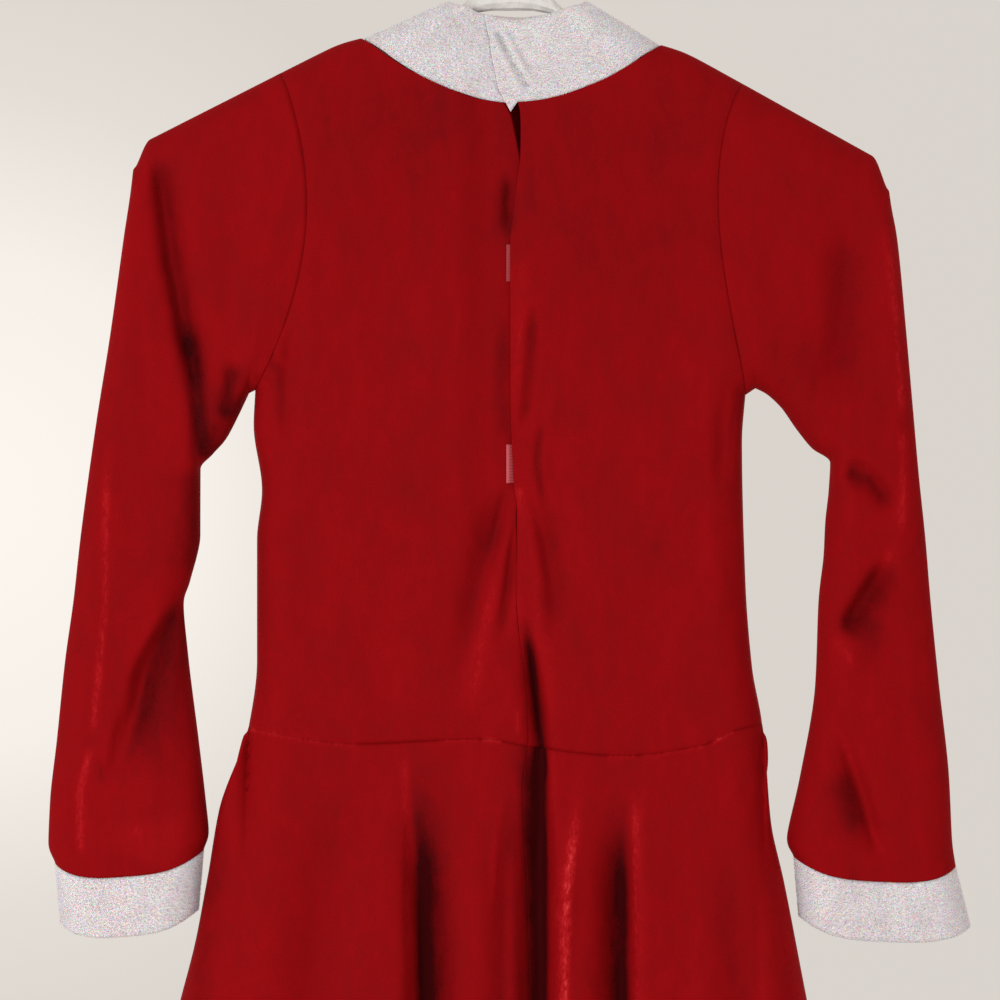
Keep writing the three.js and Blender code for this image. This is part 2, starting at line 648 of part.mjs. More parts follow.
// Points and normals of the bodice's armhole, round the back and then the front
function armholeRing(left, kind) {
  const back = left ? backLeft : backRight;
  const frontCol = left ? 0 : FRONT_COLS;
  const ring = [];
  for (let i = 0; i <= ARM_ROWS; i += 1) ring.push(back[kind][i][HALF_COLS].clone());
  for (let i = ARM_ROWS - 1; i > 0; i -= 1) ring.push(front[kind][i][frontCol].clone());
  return ring;
}

function ringCentre(ring) {
  const sum = vec(0, 0, 0);
  ring.forEach((p) => sum.add(p));
  return sum.divideScalar(ring.length);
}

function addSleeve(name, left, sections, folds) {
  const out = left ? -1 : 1;
  const armhole = armholeRing(left, 'points');
  armhole.forEach((p, i) => {
    p.x += out * SEAM_CLEAR;
    if (i === 0 || i === ARM_ROWS) p.y = 0;
  });
  const rings = [armhole];
  sections.forEach((section, k) => {
    const lastOnes = k - (sections.length - 3);
    const sag = lastOnes > 0 ? (EDGE_SAG * lastOnes) / 2 : 0;
    rings.push(flatRing(section, folds, sag));
  });
  const centres = new Map();
  rings.forEach((ring) => {
    const centre = ringCentre(ring);
    ring.forEach((p) => centres.set(p, centre));
  });
  const normals = gridNormals(rings, true, (p) => vec(0, p.y, 0).multiplyScalar(10)
    .add(p.clone().sub(centres.get(p))));
  armholeRing(left, 'normals').forEach((normal, j) => normals[0][j].copy(normal));
  const lastRing = normals.length - 1;
  normals[lastRing].forEach((normal) => flatten(normal, 'z'));
  addPiece(name, wallGeometry(rings, normals, true, VELVET), velvet());
  return { ring: rings[lastRing], normals: normals[lastRing] };
}

const leftEnd = addSleeve('sleeve_left', true, LEFT_SLEEVE, LEFT_SLEEVE_FOLDS);
const rightEnd = addSleeve('sleeve_right', false, RIGHT_SLEEVE, RIGHT_SLEEVE_FOLDS);

// Cuffs hang from the sleeve ends.

function addCuff(name, end, spreadOut, spreadIn) {
  const centre = ringCentre(end.ring);
  const rings = [0, 0.35, 0.75, 1].map((down) => end.ring.map((p) => {
    const q = p.clone();
    q.z -= SEAM + CUFF_HEIGHT * down;
    const fromOuter = Math.abs(p.x) > Math.abs(centre.x);
    q.x += (fromOuter ? spreadOut : spreadIn) * down * Math.sign(centre.x);
    return q;
  }));
  const normals = gridNormals(rings, true, (p) => vec(0, p.y, 0).multiplyScalar(10)
    .add(vec(p.x - centre.x, p.y, 0)));
  end.normals.forEach((normal, j) => normals[0][j].copy(normal));
  normals.forEach((row) => row.forEach((normal) => flatten(normal, 'z')));
  addPiece(name, wallGeometry(rings, normals, true, PLUSH), plush());
}
addCuff('cuff_left', leftEnd, -3, 3);
addCuff('cuff_right', rightEnd, 9, 3);

// Collar: a band from the right end, round the right side, the front and the left side
// to the left end, which lies behind the right one at centre back.

const COLLAR_LAP_TOP = -8;      // top edge above the edge of the right back
const COLLAR_UNDER_TOP = 7;     // top edge above the edge of the left back
const COLLAR_LAP_STEP = 4.4;

// Both ends go on past the edge of the back. Each row is a place on the end: how far out
// past the edge, how far below the neckline, and where on the top edge it starts.
const COLLAR_RIGHT_END = [
  { out: 11.6, drop: -8, top: -16.2 },
  { out: 8, drop: -1, top: -13.6 },
  { out: 4.2, drop: 6, top: -10.4 },
];
const COLLAR_LEFT_END = [{ out: 3.5, drop: 1, top: 9 }];

function collarColumns() {
  const columns = [];
  const mid = NECK_COLS;
  for (const end of COLLAR_RIGHT_END) {
    columns.push({ from: backRight, j: 0, zone: 'right', end });
  }
  for (let j = 0; j < mid; j += 1) {
    columns.push({ from: backRight, j, zone: 'right' });
  }
  for (let j = FRONT_COLS - FRONT_SHOULDER_COLS; j >= FRONT_SHOULDER_COLS; j -= 1) {
    columns.push({ from: front, j, zone: 'front' });
  }
  for (let j = mid - 1; j >= 0; j -= 1) {
    columns.push({ from: backLeft, j, zone: 'left' });
  }
  for (const end of COLLAR_LEFT_END) {
    columns.push({ from: backLeft, j: 0, zone: 'left', end });
  }
  return columns;
}

function collarTop(x, zone, end) {
  const left = COLLAR_TOP_LEFT;
  const right = COLLAR_TOP_RIGHT;
  let top = lerp(left, right, (x + NECK_HALF) / (2 * NECK_HALF));
  if (zone === 'right') {
    const start = backRight.points[0][0].x;
    top = lerp(COLLAR_LAP_TOP, right, (x - start) / (NECK_RIGHT_X - start));
  }
  if (zone === 'left') {
    const start = backLeft.points[0][0].x;
    top = lerp(left, COLLAR_UNDER_TOP, (x - NECK_LEFT_X) / (start - NECK_LEFT_X));
  }
  if (end) top = end.top;
  const dip = zone === 'front' ? COLLAR_FRONT_DIP : COLLAR_BACK_DIP;
  const half = (right - left) / 2;
  const middle = (right + left) / 2;
  const z = COLLAR_PEAK_Z - dip * (1 - Math.abs((top - middle) / half) ** 1.6);
  const share = turned(Math.min(top - left, right - top), 14);
  const under = zone === 'left' ? COLLAR_LAP_STEP * ease((top + 30) / 11) : 0;
  const side = zone === 'front' ? 1 : -1;
  return vec(top, side * (COLLAR_DEPTH * share - under), z);
}

function addCollar() {
  const columns = collarColumns();
  const rows = [0, 0.33, 0.67, 1];
  const points = rows.map(() => []);
  columns.forEach(({ from, j, zone, end }) => {
    const low = from.points[0][j].clone();
    const atNeck = Math.abs(Math.abs(low.x) - NECK_HALF) < 0.01;
    if (atNeck) low.y = 0;
    const top = collarTop(low.x, zone, end);
    if (end) {
      low.x += zone === 'right' ? -end.out : end.out;
      low.z -= end.drop;
    }
    const along = top.clone().sub(low).normalize();
    const nearNeck = ease((Math.abs(low.x) - 70) / 8);
    low.addScaledVector(along, COLLAR_CLEAR + 0.7 * nearNeck);
    rows.forEach((t, k) => {
      const p = low.clone().lerp(top, t);
      const bulge = COLLAR_BULGE * Math.sin(Math.PI * t);
      p.y += Math.sign(p.y) * bulge * Math.min(Math.abs(p.y) / 6, 1);
      points[k].push(p);
    });
  });
  const outward = (p) => vec(p.x * 0.2, Math.sign(p.y) * 20, 6);
  const normals = gridNormals(points, false, outward);
  columns.forEach(({ from, j }, c) => normals[0][c].copy(from.normals[0][j]));
  addPiece('collar', wallGeometry(points, normals, false, PLUSH), plush());
}
addCollar();

// Hook-and-loop tabs between the two edges of the back opening

function addTape(name, place) {
  const points = [];
  for (let i = 0; i <= 3; i += 1) {
    const row = [];
    for (let j = 0; j <= 2; j += 1) {
      const x = lerp(TAPE_LEFT_X, TAPE_RIGHT_X, j / 2);
      const z = lerp(place.top, place.low, i / 3);
      row.push(vec(x, backY(x, z, true) - SEAM - TAPE, z));
    }
    points.push(row);
  }
  const normals = points.map((row) => row.map(() => vec(0, -1, 0)));
  addPiece(name, wallGeometry(points, normals, false, TAPE), tapeCloth());
}
addTape('tape_upper', TAPE_UPPER);
addTape('tape_lower', TAPE_LOWER);

// Hanger

function hangerTop(x) {
  const out = Math.abs(x);
  const bend = ARM_DROP * softRamp(out - ARM_BEND, 6);
  const arm = ARM_TOP_Z - ARM_SLOPE * out - bend - TILT * x;
  const hub = (HUB_TOP_Z - ARM_TOP_Z) * (1 - ease((out - HUB_HALF) / HUB_FALL));
  return arm + hub;
}

function hangerLow(x) {
  const out = Math.abs(x);
  return lerp(HUB_LOW_Z, hangerTop(x) - ARM_HEIGHT, ease((out - HUB_LOW_HALF) / HUB_LOW_FALL));
}

function addHangerBody() {
  const sides = 12;
  const steps = 34;
  const positions = [];
  const index = [];
  for (let i = 0; i <= steps; i += 1) {
    const t = (2 * i) / steps - 1;
    const x = ARM_END * t;
    const taper = Math.sqrt(Math.max(1 - Math.abs(t) ** 30, 0.12));
    const top = hangerTop(x);
    const low = hangerLow(x);
    for (let k = 0; k < sides; k += 1) {
      const angle = (2 * Math.PI * k) / sides;
      const y = ARM_HALF_DEPTH * taper * Math.cos(angle);
      const z = (top + low) / 2 + ((top - low) / 2) * taper * Math.sin(angle);
      positions.push(x, y, z);
    }
  }
  const at = (i, k) => i * sides + (k % sides);
  for (let i = 0; i < steps; i += 1) {
    for (let k = 0; k < sides; k += 1) {
      index.push(at(i, k), at(i, k + 1), at(i + 1, k + 1), at(i, k), at(i + 1, k + 1), at(i + 1, k));
    }
  }
  for (let k = 1; k < sides - 1; k += 1) {
    index.push(at(0, 0), at(0, k + 1), at(0, k));
    index.push(at(steps, 0), at(steps, k), at(steps, k + 1));
  }
  const geometry = new THREE.BufferGeometry();
  geometry.setAttribute('position', new THREE.Float32BufferAttribute(positions, 3));
  geometry.setIndex(index);
  geometry.computeVertexNormals();
  addPiece('hanger_body', geometry, plastic());
}
addHangerBody();

// The hook: straight up from the hub, out to the right, over the top and down on the left.
function addHook() {
  const reach = HOOK_INNER + HOOK_ROD;
  const foot = hangerTop(0) + SEAM;
  const route = [vec(0, 0, foot), vec(0, 0, foot + 8), vec(5, 0, foot + 17), vec(16, 0, foot + 29)];
  for (let degrees = -20; degrees <= 205; degrees += 22.5) {
    const angle = THREE.MathUtils.degToRad(degrees);
    route.push(vec(reach * Math.cos(angle), 0, -HOOK_INNER + reach * Math.sin(angle)));
  }
  const path = new THREE.CatmullRomCurve3(route, false, 'centripetal');
  const section = new THREE.Shape();
  section.absarc(0, 0, HOOK_ROD, 0, 2 * Math.PI);
  const geometry = new THREE.ExtrudeGeometry(section, { extrudePath: path, steps: 34, curveSegments: 5 });
  addPiece('hanger_hook', geometry, plastic());
}
addHook();

export default dress;
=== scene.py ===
# %% [markdown]
# A child's red velvet helper dress, hung on a plastic hanger and seen from its fastened back.
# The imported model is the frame. It is loaded first and never moved. Every piece made here
# follows the same outline, so that the fine cloth lies where its plain wall lies, to within
# a few millimetres at the neck and closer everywhere else.

# %% Load the frame
import math

import bmesh
import bpy
import numpy as np
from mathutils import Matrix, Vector


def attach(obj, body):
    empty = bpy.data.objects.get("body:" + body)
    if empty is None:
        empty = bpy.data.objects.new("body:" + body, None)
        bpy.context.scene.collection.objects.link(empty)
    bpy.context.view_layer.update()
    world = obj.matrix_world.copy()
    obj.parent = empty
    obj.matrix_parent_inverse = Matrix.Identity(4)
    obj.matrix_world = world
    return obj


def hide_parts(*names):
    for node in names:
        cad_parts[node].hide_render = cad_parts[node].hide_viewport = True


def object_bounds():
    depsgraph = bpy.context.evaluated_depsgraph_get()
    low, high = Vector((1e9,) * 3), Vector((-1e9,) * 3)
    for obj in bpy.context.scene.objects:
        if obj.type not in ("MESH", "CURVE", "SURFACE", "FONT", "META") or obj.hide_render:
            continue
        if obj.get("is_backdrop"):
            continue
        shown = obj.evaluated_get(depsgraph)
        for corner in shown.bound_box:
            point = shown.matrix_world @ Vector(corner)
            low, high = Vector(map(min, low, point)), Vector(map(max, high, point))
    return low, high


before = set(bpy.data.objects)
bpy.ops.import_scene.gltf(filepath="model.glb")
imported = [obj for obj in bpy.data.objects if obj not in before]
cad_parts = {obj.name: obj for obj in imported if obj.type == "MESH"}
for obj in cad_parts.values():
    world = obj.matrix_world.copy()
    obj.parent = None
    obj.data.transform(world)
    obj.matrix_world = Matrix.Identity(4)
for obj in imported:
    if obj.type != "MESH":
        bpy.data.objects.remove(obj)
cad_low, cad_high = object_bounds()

MM = 0.001
print("CAD box", [round(v, 3) for v in cad_low], [round(v, 3) for v in cad_high])

# %% [markdown]
# The camera is level and square to the back of the dress, 1.6 m away, so that the picture
# takes in 600 mm of it. The hem and the hook lie outside the picture.

# %% Camera
FRAME_WIDTH = 600.0
CAMERA_AWAY = 1600.0
CAMERA_X = -7.2
CAMERA_Z = -375.0
SENSOR = 36.0

camera_data = bpy.data.cameras.new("camera")
camera_data.sensor_width = SENSOR
camera_data.lens = SENSOR * CAMERA_AWAY / FRAME_WIDTH
camera_data.clip_end = 20.0
camera = bpy.data.objects.new("camera", camera_data)
camera.location = (CAMERA_X * MM, -CAMERA_AWAY * MM, CAMERA_Z * MM)
camera.rotation_euler = (math.radians(90.0), 0.0, 0.0)
bpy.context.scene.collection.objects.link(camera)
bpy.context.scene.camera = camera
print("lens", camera_data.lens)

# %% [markdown]
# Cloth is described by a few sizes in millimetres and short tables. Small helpers read
# them for whole arrays of points at once: a smooth table, a quarter-circle turn at an
# edge, and soft troughs that stand for folds.

# %% Helpers for curves and folds


def lerp(a, b, t):
    return a + (b - a) * t


def ease(t):
    s = np.clip(t, 0.0, 1.0)
    return s * s * (3.0 - 2.0 * s)


def soft_ramp(x, width):
    return width * np.logaddexp(0.0, x / width)


def from_table(table, at):
    """Smooth value from rows (place, value) sorted by falling place, without overshoot."""
    places = np.array([row[0] for row in table][::-1])
    values = np.array([row[1] for row in table][::-1])
    steps = np.diff(places)
    pitch = np.diff(values) / steps
    slope = np.zeros(len(places))
    slope[0] = pitch[0]
    slope[-1] = pitch[-1]
    for i in range(1, len(places) - 1):
        a, b = pitch[i - 1], pitch[i]
        slope[i] = 0.0 if a * b <= 0.0 else 2.0 * a * b / (a + b)
    at = np.clip(at, places[0], places[-1])
    i = np.clip(np.searchsorted(places, at) - 1, 0, len(steps) - 1)
    t = (at - places[i]) / steps[i]
    bend = slope[i] * steps[i] * t * (1 - t) ** 2 - slope[i + 1] * steps[i] * t * t * (1 - t)
    return lerp(values[i], values[i + 1], ease(t)) + bend


def turned(distance, width):
    s = np.clip(distance / width, 0.0, 1.0)
    return np.sqrt(np.maximum(1.0 - (1.0 - s) ** 2, 0.0))


def fold_depth(rows, x, z):
    """Sum of soft troughs. A row is three places (x, z) from top to bottom, the width to
    its left and right, its depth, and the share of its length in which each end fades."""
    total = np.zeros(np.broadcast(x, z).shape)
    for top, mid, low, left, right, depth, fade_in, fade_out in rows:
        best = np.full(total.shape, 1e9)
        along = np.zeros(total.shape)
        on_left = np.zeros(total.shape, bool)
        for k, (a, b) in enumerate(((top, mid), (mid, low))):
            ax, az = a
            bx, bz = b
            size = (bx - ax) ** 2 + (bz - az) ** 2
            t = np.clip(((x - ax) * (bx - ax) + (z - az) * (bz - az)) / size, 0.0, 1.0)
            px, pz = lerp(ax, bx, t), lerp(az, bz, t)
            distance = np.hypot(x - px, z - pz)
            nearer = distance < best
            best = np.where(nearer, distance, best)
            along = np.where(nearer, (k + t) / 2.0, along)
            on_left = np.where(nearer, x < px, on_left)
        width = np.where(on_left, left, right)
        fade = ease(along / fade_in) * ease((1.0 - along) / fade_out)
        total = total + depth * fade * np.exp(-((best / width) ** 2))
    return total


print("a quarter turn, half way:", round(float(turned(0.5, 1.0)), 3))

# %% [markdown]
# The outline of the hanging dress: shoulders that slope along the hanger's arms, sides
# that fall straight and flare from the waist, and a centre-back edge on each half.

# %% Outline
NECK_HALF = 90.0
NECK_MID_Z = -100.2
TILT = 0.024                # the dress hangs a little lower on the right
SHOULDER_X = 139.0
HEM_Z = -790.0
UNDERARM = {"left": (-154.0, -309.0), "right": (140.0, -312.0)}
SHOULDER_SLOPE = 0.25       # fall of the shoulder line for each millimetre outwards
SHOULDER_DROOP = 0.28       # and how much steeper it gets past the collar
DROOP_FROM, DROOP_SOFT = 13.0, 4.0
NECK_CURVE = 1.9
ARMHOLE_BOW = {"left": 24.0, "right": -17.0}

SIDE = {
    "left": [(-309, -154), (-330, -155), (-369, -150), (-399, -153), (-471, -153),
             (-511, -158), (-560, -175), (-603, -183), (-640, -190), (-675, -199),
             (HEM_Z, -228)],
    "right": [(-312, 140), (-340, 138), (-423, 140), (-475, 144), (-509, 150),
              (-567, 155), (-603, 163), (-675, 177), (HEM_Z, 200)],
}
WAIST = [(150, -509), (133, -512), (112, -521), (65, -527), (14, -522), (-19, -517),
         (-91, -520), (-158, -511)]
CENTRE_SEAM = [(-380, 2.8), (-430, 2.4), (-489, 8.4), (-516, 9.6), (-545, 6), (-605, 9),
               (HEM_Z, 13)]
BACK_EDGE = {
    "left": [(-136, -7), (-140, -3.6), (-146, -0.6), (-156, 1.8), (-166, 3.8), (-190, 8),
             (-225, 10.8), (-364, 11)] + CENTRE_SEAM,
    "right": [(-138, 3), (-143, 4.4), (-153, 5), (-170, 4.8), (-190, 2.2), (-225, -1.2),
              (-300, -1.2), (-364, 0.8)] + CENTRE_SEAM,
}
print("side seams end at", SIDE["left"][-1][1], "and", SIDE["right"][-1][1])

# %% [markdown]
# Each line of the outline is a small function of the height or of the place across. They
# are used by every piece that meets the line, so that two pieces at a seam share it.

# %% Lines of the outline


def shoulder_z(x):
    out = np.abs(x) - NECK_HALF
    droop = SHOULDER_DROOP * soft_ramp(out - DROOP_FROM, DROOP_SOFT)
    return NECK_MID_Z - SHOULDER_SLOPE * out - droop - TILT * x


def waist_z(x):
    return from_table(WAIST, x)


def armhole_x(z, hand):
    under_x, under_z = UNDERARM[hand]
    tip_x = -SHOULDER_X if hand == "left" else SHOULDER_X
    tip_z = shoulder_z(tip_x)
    s = np.clip((tip_z - z) / (tip_z - under_z), 0.0, 1.0)
    if hand == "left":
        bow = np.maximum(np.sin(math.pi * s), 0.0) ** 0.8
    else:
        bow = np.sin(math.pi * s ** 0.7)
    return lerp(tip_x, under_x, s) + ARMHOLE_BOW[hand] * bow


def outer_x(z, hand):
    return np.where(z > UNDERARM[hand][1], armhole_x(z, hand), from_table(SIDE[hand], z))


def neck_z(x, drop):
    t = np.minimum(np.abs(x) / NECK_HALF, 1.0)
    return NECK_MID_Z - TILT * x - drop * (1.0 - t ** NECK_CURVE)


print("shoulder tips", shoulder_z(-SHOULDER_X), shoulder_z(SHOULDER_X))

# %% [markdown]
# Cloth could be draped by a simulation, but that wouldn't give the folds of the picture. So
# folds are rows of a table: where each runs (top, middle, low), how wide it is to its left
# and right, how deep, and how it fades. Those of the plain walls come first, and finer
# creases that only show from near are added to them here.

# %% Folds of the bodice
BACK_FOLDS = [
    ((-3, -367), (-19, -418), (-33, -495), 9, 7, 6, 0.3, 0.4),
    ((1, -388), (-3, -432), (-9, -470), 4, 4, 2.5, 0.3, 0.4),
    ((7, -440), (16, -495), (20, -560), 8, 4, 8, 0.4, 0.3),
    ((18, -370), (25, -421), (27, -470), 6, 7, 5, 0.3, 0.4),
    ((-130, -258), (-134, -310), (-138, -372), 5, 6, 4, 0.3, 0.4),
    ((127, -300), (126, -335), (124, -375), 5, 5, 3, 0.4, 0.4),
]
BACK_CREASES = [
    ((-4, -366), (-9, -392), (-20, -440), 2.5, 4, 1.6, 0.2, 0.5),
    ((2, -386), (-2, -420), (-7, -452), 1.8, 2.2, 1.8, 0.2, 0.4),
    ((11, -372), (19, -402), (24, -440), 3, 3, 1.4, 0.2, 0.4),
    ((9, -446), (14, -485), (19, -522), 4, 1.6, 3.0, 0.3, 0.2),
    ((-1, -178), (-2, -200), (-4, -222), 3, 5, 2.2, 0.3, 0.4),
    ((13.5, -254), (11.2, -288), (6.4, -338), 3.5, 3, 2.2, 0.3, 0.2),
    ((17.2, -327), (15, -352), (20, -384), 2.5, 2.5, 1.3, 0.3, 0.3),
    ((30, -282), (22, -330), (16, -372), 4, 4, -0.8, 0.4, 0.4),
    ((-152, -284), (-140, -292), (-133, -300), 2.5, 2.5, 1.6, 0.3, 0.4),
    ((-150, -300), (-141, -312), (-137, -330), 2.5, 2.5, 1.6, 0.2, 0.5),
    ((-148, -306), (-143, -330), (-142, -372), 2.2, 3, 1.5, 0.2, 0.5),
    ((136, -268), (139, -278), (142, -292), 4, 3, 2.6, 0.3, 0.3),
    ((138, -302), (132, -330), (129, -372), 2.5, 2.5, 1.4, 0.2, 0.5),
    ((-120, -350), (-122, -420), (-118, -480), 14, 12, 1.2, 0.4, 0.4),
    ((92, -200), (96, -280), (90, -360), 20, 20, 1.0, 0.4, 0.4),
    ((-70, -180), (-76, -260), (-72, -350), 18, 22, 0.9, 0.4, 0.4),
    ((78, -400), (84, -450), (80, -505), 16, 14, 1.1, 0.4, 0.4),
    ((-82, -430), (-78, -470), (-84, -512), 15, 13, 1.1, 0.4, 0.3),
]
FRONT_FOLDS = [
    ((-125, -262), (-130, -312), (-133, -380), 6, 7, 4, 0.3, 0.4),
    ((122, -270), (124, -318), (121, -390), 7, 6, 4, 0.3, 0.4),
    ((-38, -400), (-44, -455), (-52, -530), 9, 9, 3.5, 0.5, 0.3),
    ((46, -410), (54, -460), (60, -535), 9, 8, 3.5, 0.5, 0.3),
]
FRONT_CREASES = [
    ((-146, -290), (-138, -304), (-132, -318), 3, 3, 1.8, 0.3, 0.4),
    ((133, -288), (128, -304), (124, -322), 3, 3, 1.8, 0.3, 0.4),
    ((-60, -160), (-40, -240), (-46, -330), 18, 16, 1.2, 0.4, 0.4),
    ((64, -170), (48, -250), (52, -340), 16, 18, 1.2, 0.4, 0.4),
    ((4, -190), (6, -290), (2, -380), 15, 15, 1.0, 0.4, 0.4),
    ((-96, -380), (-92, -440), (-98, -500), 12, 12, 1.4, 0.4, 0.3),
    ((94, -390), (90, -440), (96, -500), 12, 12, 1.4, 0.4, 0.3),
]
print("bodice folds", len(BACK_FOLDS + BACK_CREASES), "and", len(FRONT_FOLDS + FRONT_CREASES))

# %% [markdown]
# These rows paint light into the colour of the velvet: painted shade in the folds, beside the
# overlap and over broad shaded parts, and painted highlights along the ridges. These rows have
# the same columns as the folds. A strength over zero is painted shade, darker, and under zero
# it is a painted highlight, a bright streak.

# %% Painted shade and highlights on the back
BACK_PAINTED_LIGHT = [
    ((-3, -178), (-4, -200), (-3, -221), 6, 4, 0.9, 0.3, 0.3),
    ((5, -222), (4.2, -270), (3, -340), 7, 7, -0.4, 0.2, 0.2),
    ((13.2, -256), (11.5, -288), (6.5, -336), 3.2, 3.2, 0.9, 0.3, 0.2),
    ((17.2, -327), (15, -352), (20, -384), 2.4, 2.4, 0.8, 0.2, 0.3),
    ((-5, -246), (-5.5, -305), (-5, -345), 5, 4, 0.7, 0.4, 0.2),
    ((2.5, -366), (4.8, -376), (7.5, -388), 3.5, 3.5, -0.5, 0.2, 0.4),
    ((-3, -367), (-19, -418), (-30, -480), 7, 4, 0.6, 0.2, 0.4),
    ((-8, -403), (-18, -455), (-28, -508), 6.4, 6.4, -0.35, 0.3, 0.2),
    ((1, -392), (-3, -432), (-8, -461), 2.5, 2.5, 0.7, 0.3, 0.3),
    ((2, -427), (3, -450), (8, -489), 4, 4.8, -0.35, 0.3, 0.3),
    ((3, -498), (3, -507), (4, -515), 1.6, 1.6, -0.6, 0.2, 0.2),
    ((7, -440), (13, -478), (20, -545), 4, 2.6, 2.0, 0.4, 0.1),
    ((6, -372), (13, -421), (23, -518), 4.8, 8, -0.35, 0.2, 0.2),
    ((18, -372), (25, -421), (26, -465), 6, 7, 0.45, 0.2, 0.4),
    ((-152, -284), (-139, -300), (-134, -345), 4, 4, 0.6, 0.2, 0.4),
    ((138, -272), (141, -300), (131, -350), 4, 5, 0.6, 0.2, 0.4),
    ((-148, -330), (-152, -400), (-150, -500), 7, 5, 0.35, 0.3, 0.3),
    ((-60, -95), (-55, -170), (-55, -280), 70, 60, 0.35, 0.3, 0.5),
    ((60, -95), (60, -190), (64, -330), 60, 70, 0.35, 0.3, 0.5),
]
print("nap rows of the back", len(BACK_PAINTED_LIGHT))

# %% Painted shade and highlights on the skirt
SKIRT_PAINTED_LIGHT = [
    ((-104, -527), (-113, -621), (-128, -790), 12, 12, 0.35, 0.3, 0.01),
    ((-64, -521), (-61, -598), (-56, -790), 3.5, 2.1, -0.6, 0.1, 0.01),
    ((-57, -522), (-54, -600), (-50, -790), 4.5, 14, 2.1, 0.5, 0.01),
    ((-6, -540), (-9, -575), (-12, -625), 2.4, 2.4, -0.5, 0.3, 0.4),
    ((-4, -550), (-6, -620), (-8, -790), 4, 4, 0.4, 0.3, 0.01),
    ((0, -534), (4, -575), (12, -790), 2.2, 2.2, -0.4, 0.2, 0.1),
    ((17, -500), (18.5, -590), (18.5, -790), 13, 3.5, 2.2, 0.25, 0.01),
    ((21.5, -514), (23.5, -590), (24, -790), 1.5, 3.5, -0.5, 0.1, 0.01),
    ((40, -545), (32, -606), (28, -790), 4, 4, -1.1, 0.3, 0.1),
    ((64, -545), (66, -620), (66, -790), 9, 4, 2.0, 0.4, 0.01),
    ((73, -540), (71.5, -610), (71.5, -790), 2, 5, -0.8, 0.2, 0.01),
    ((146, -600), (146, -640), (150, -760), 3.2, 3.2, -0.35, 0.3, 0.3),
    ((152, -550), (164, -620), (186, -770), 4.8, 6.4, -0.55, 0.3, 0.2),
    ((-174, -570), (-181, -630), (-200, -780), 6, 8, 0.45, 0.3, 0.05),
    ((122, -545), (134, -660), (148, -790), 12, 10, 0.3, 0.4, 0.01),
]
print("nap rows of the skirt", len(SKIRT_PAINTED_LIGHT))

# %% Painted shade and highlights on the sleeves
SLEEVE_PAINTED_LIGHT = {
    "left": [
        ((-213, -164), (-204, -232), (-188, -314), 5.4, 9.5, 1.0, 0.15, 0.3),
        ((-189, -354), (-168, -330), (-156, -311), 6.8, 5.4, 0.6, 0.3, 0.2),
        ((-198, -262), (-190, -300), (-184, -352), 5, 9, 1.35, 0.3, 0.05),
        ((-165, -290), (-168, -308), (-172, -330), 6, 7, 1.3, 0.3, 0.2),
        ((-192, -352), (-189, -385), (-193, -425), 12, 8, 0.8, 0.2, 0.2),
        ((-241, -334), (-242, -440), (-250, -520), 2.6, 2.6, -0.8, 0.2, 0.1),
        ((-250, -520), (-257, -550), (-256, -592), 2.6, 2.6, -0.8, 0.1, 0.2),
        ((-197, -430), (-215, -474), (-231, -548), 4, 20, 1.35, 0.2, 0.3),
        ((-232, -175), (-240, -260), (-242, -330), 4.8, 8, -0.35, 0.3, 0.3),
        ((-216, -560), (-214, -575), (-220, -592), 25.6, 25.6, -0.35, 0.4, 0.2),
        ((-246, -528), (-244, -536), (-243, -544), 2, 2, 0.7, 0.3, 0.3),
    ],
    "right": [
        ((198, -205), (199, -262), (196, -322), 10.8, 10.8, 0.7, 0.3, 0.3),
        ((220, -190), (228, -270), (232, -330), 2.4, 4, -0.6, 0.3, 0.1),
        ((232, -330), (233, -372), (230, -398), 2.9, 3.2, -0.6, 0.1, 0.2),
        ((230, -398), (214, -426), (196, -448), 3.2, 3.8, -0.5, 0.2, 0.3),
        ((196, -357), (214, -364), (228, -382), 5, 5, 1.2, 0.2, 0.3),
        ((226, -409), (206, -440), (195, -456), 6, 15, 1.1, 0.2, 0.2),
        ((215, -440), (216, -460), (212, -484), 8.1, 6.8, 0.55, 0.3, 0.3),
        ((189, -458), (198, -464), (206, -476), 4.8, 4.8, -0.5, 0.3, 0.3),
        ((191, -504), (207, -546), (221, -592), 2.2, 3.2, -0.45, 0.2, 0.2),
        ((196, -532), (203, -553), (211, -576), 14, 6, 1.15, 0.3, 0.3),
        ((172, -250), (176, -300), (186, -345), 21.6, 21.6, 0.25, 0.4, 0.4),
    ],
}
print("nap rows of the sleeves", {hand: len(rows) for hand, rows in SLEEVE_PAINTED_LIGHT.items()})

# %% [markdown]
# A painted highlight runs in short stretches along the waist seam, where the skirt's edge turns
# over. The line follows the seam's own curve, and each stretch fades at both ends.

# %% Shine along the waist seam
SHINE_DROP, SHINE_WIDE, SHINE_FADE = 0.8, 1.1, 3.0
WAIST_SHINE = [
    # from, to, strength
    (-158, -91, 1.1), (-44, -19, 1.0), (-19, -5, 1.5), (7, 12, 1.0), (55, 75, 1.2),
    (76, 116, 0.7), (117, 133, 1.2),
]


def waist_shine(x, z):
    line = np.exp(-(((z - waist_z(x) + SHINE_DROP) / SHINE_WIDE) ** 2))
    along = sum(s * ease((x - a) / SHINE_FADE) * ease((b - x) / SHINE_FADE)
                for a, b, s in WAIST_SHINE)
    return line * along


# Painted shade and highlights on the back face: the rows, lightened by the waist seam's painted
# highlight.
def painted_light_of(rows):
    return lambda x, y, z: (fold_depth(rows, x, z) - waist_shine(x, z)) * (y < 0)


print("stretches of shine", len(WAIST_SHINE))

# %% [markdown]
# Velvet never lies perfectly flat. A sum of a few slow waves, different on each piece,
# gives every panel a faint wander of under a millimetre. The sum is a formula, so each
# run gives the same cloth.

# %% Slow wander of the cloth
WAVES = [(71.0, 0.42), (43.0, 0.3), (27.0, 0.18), (16.0, 0.1)]      # length, share of the height


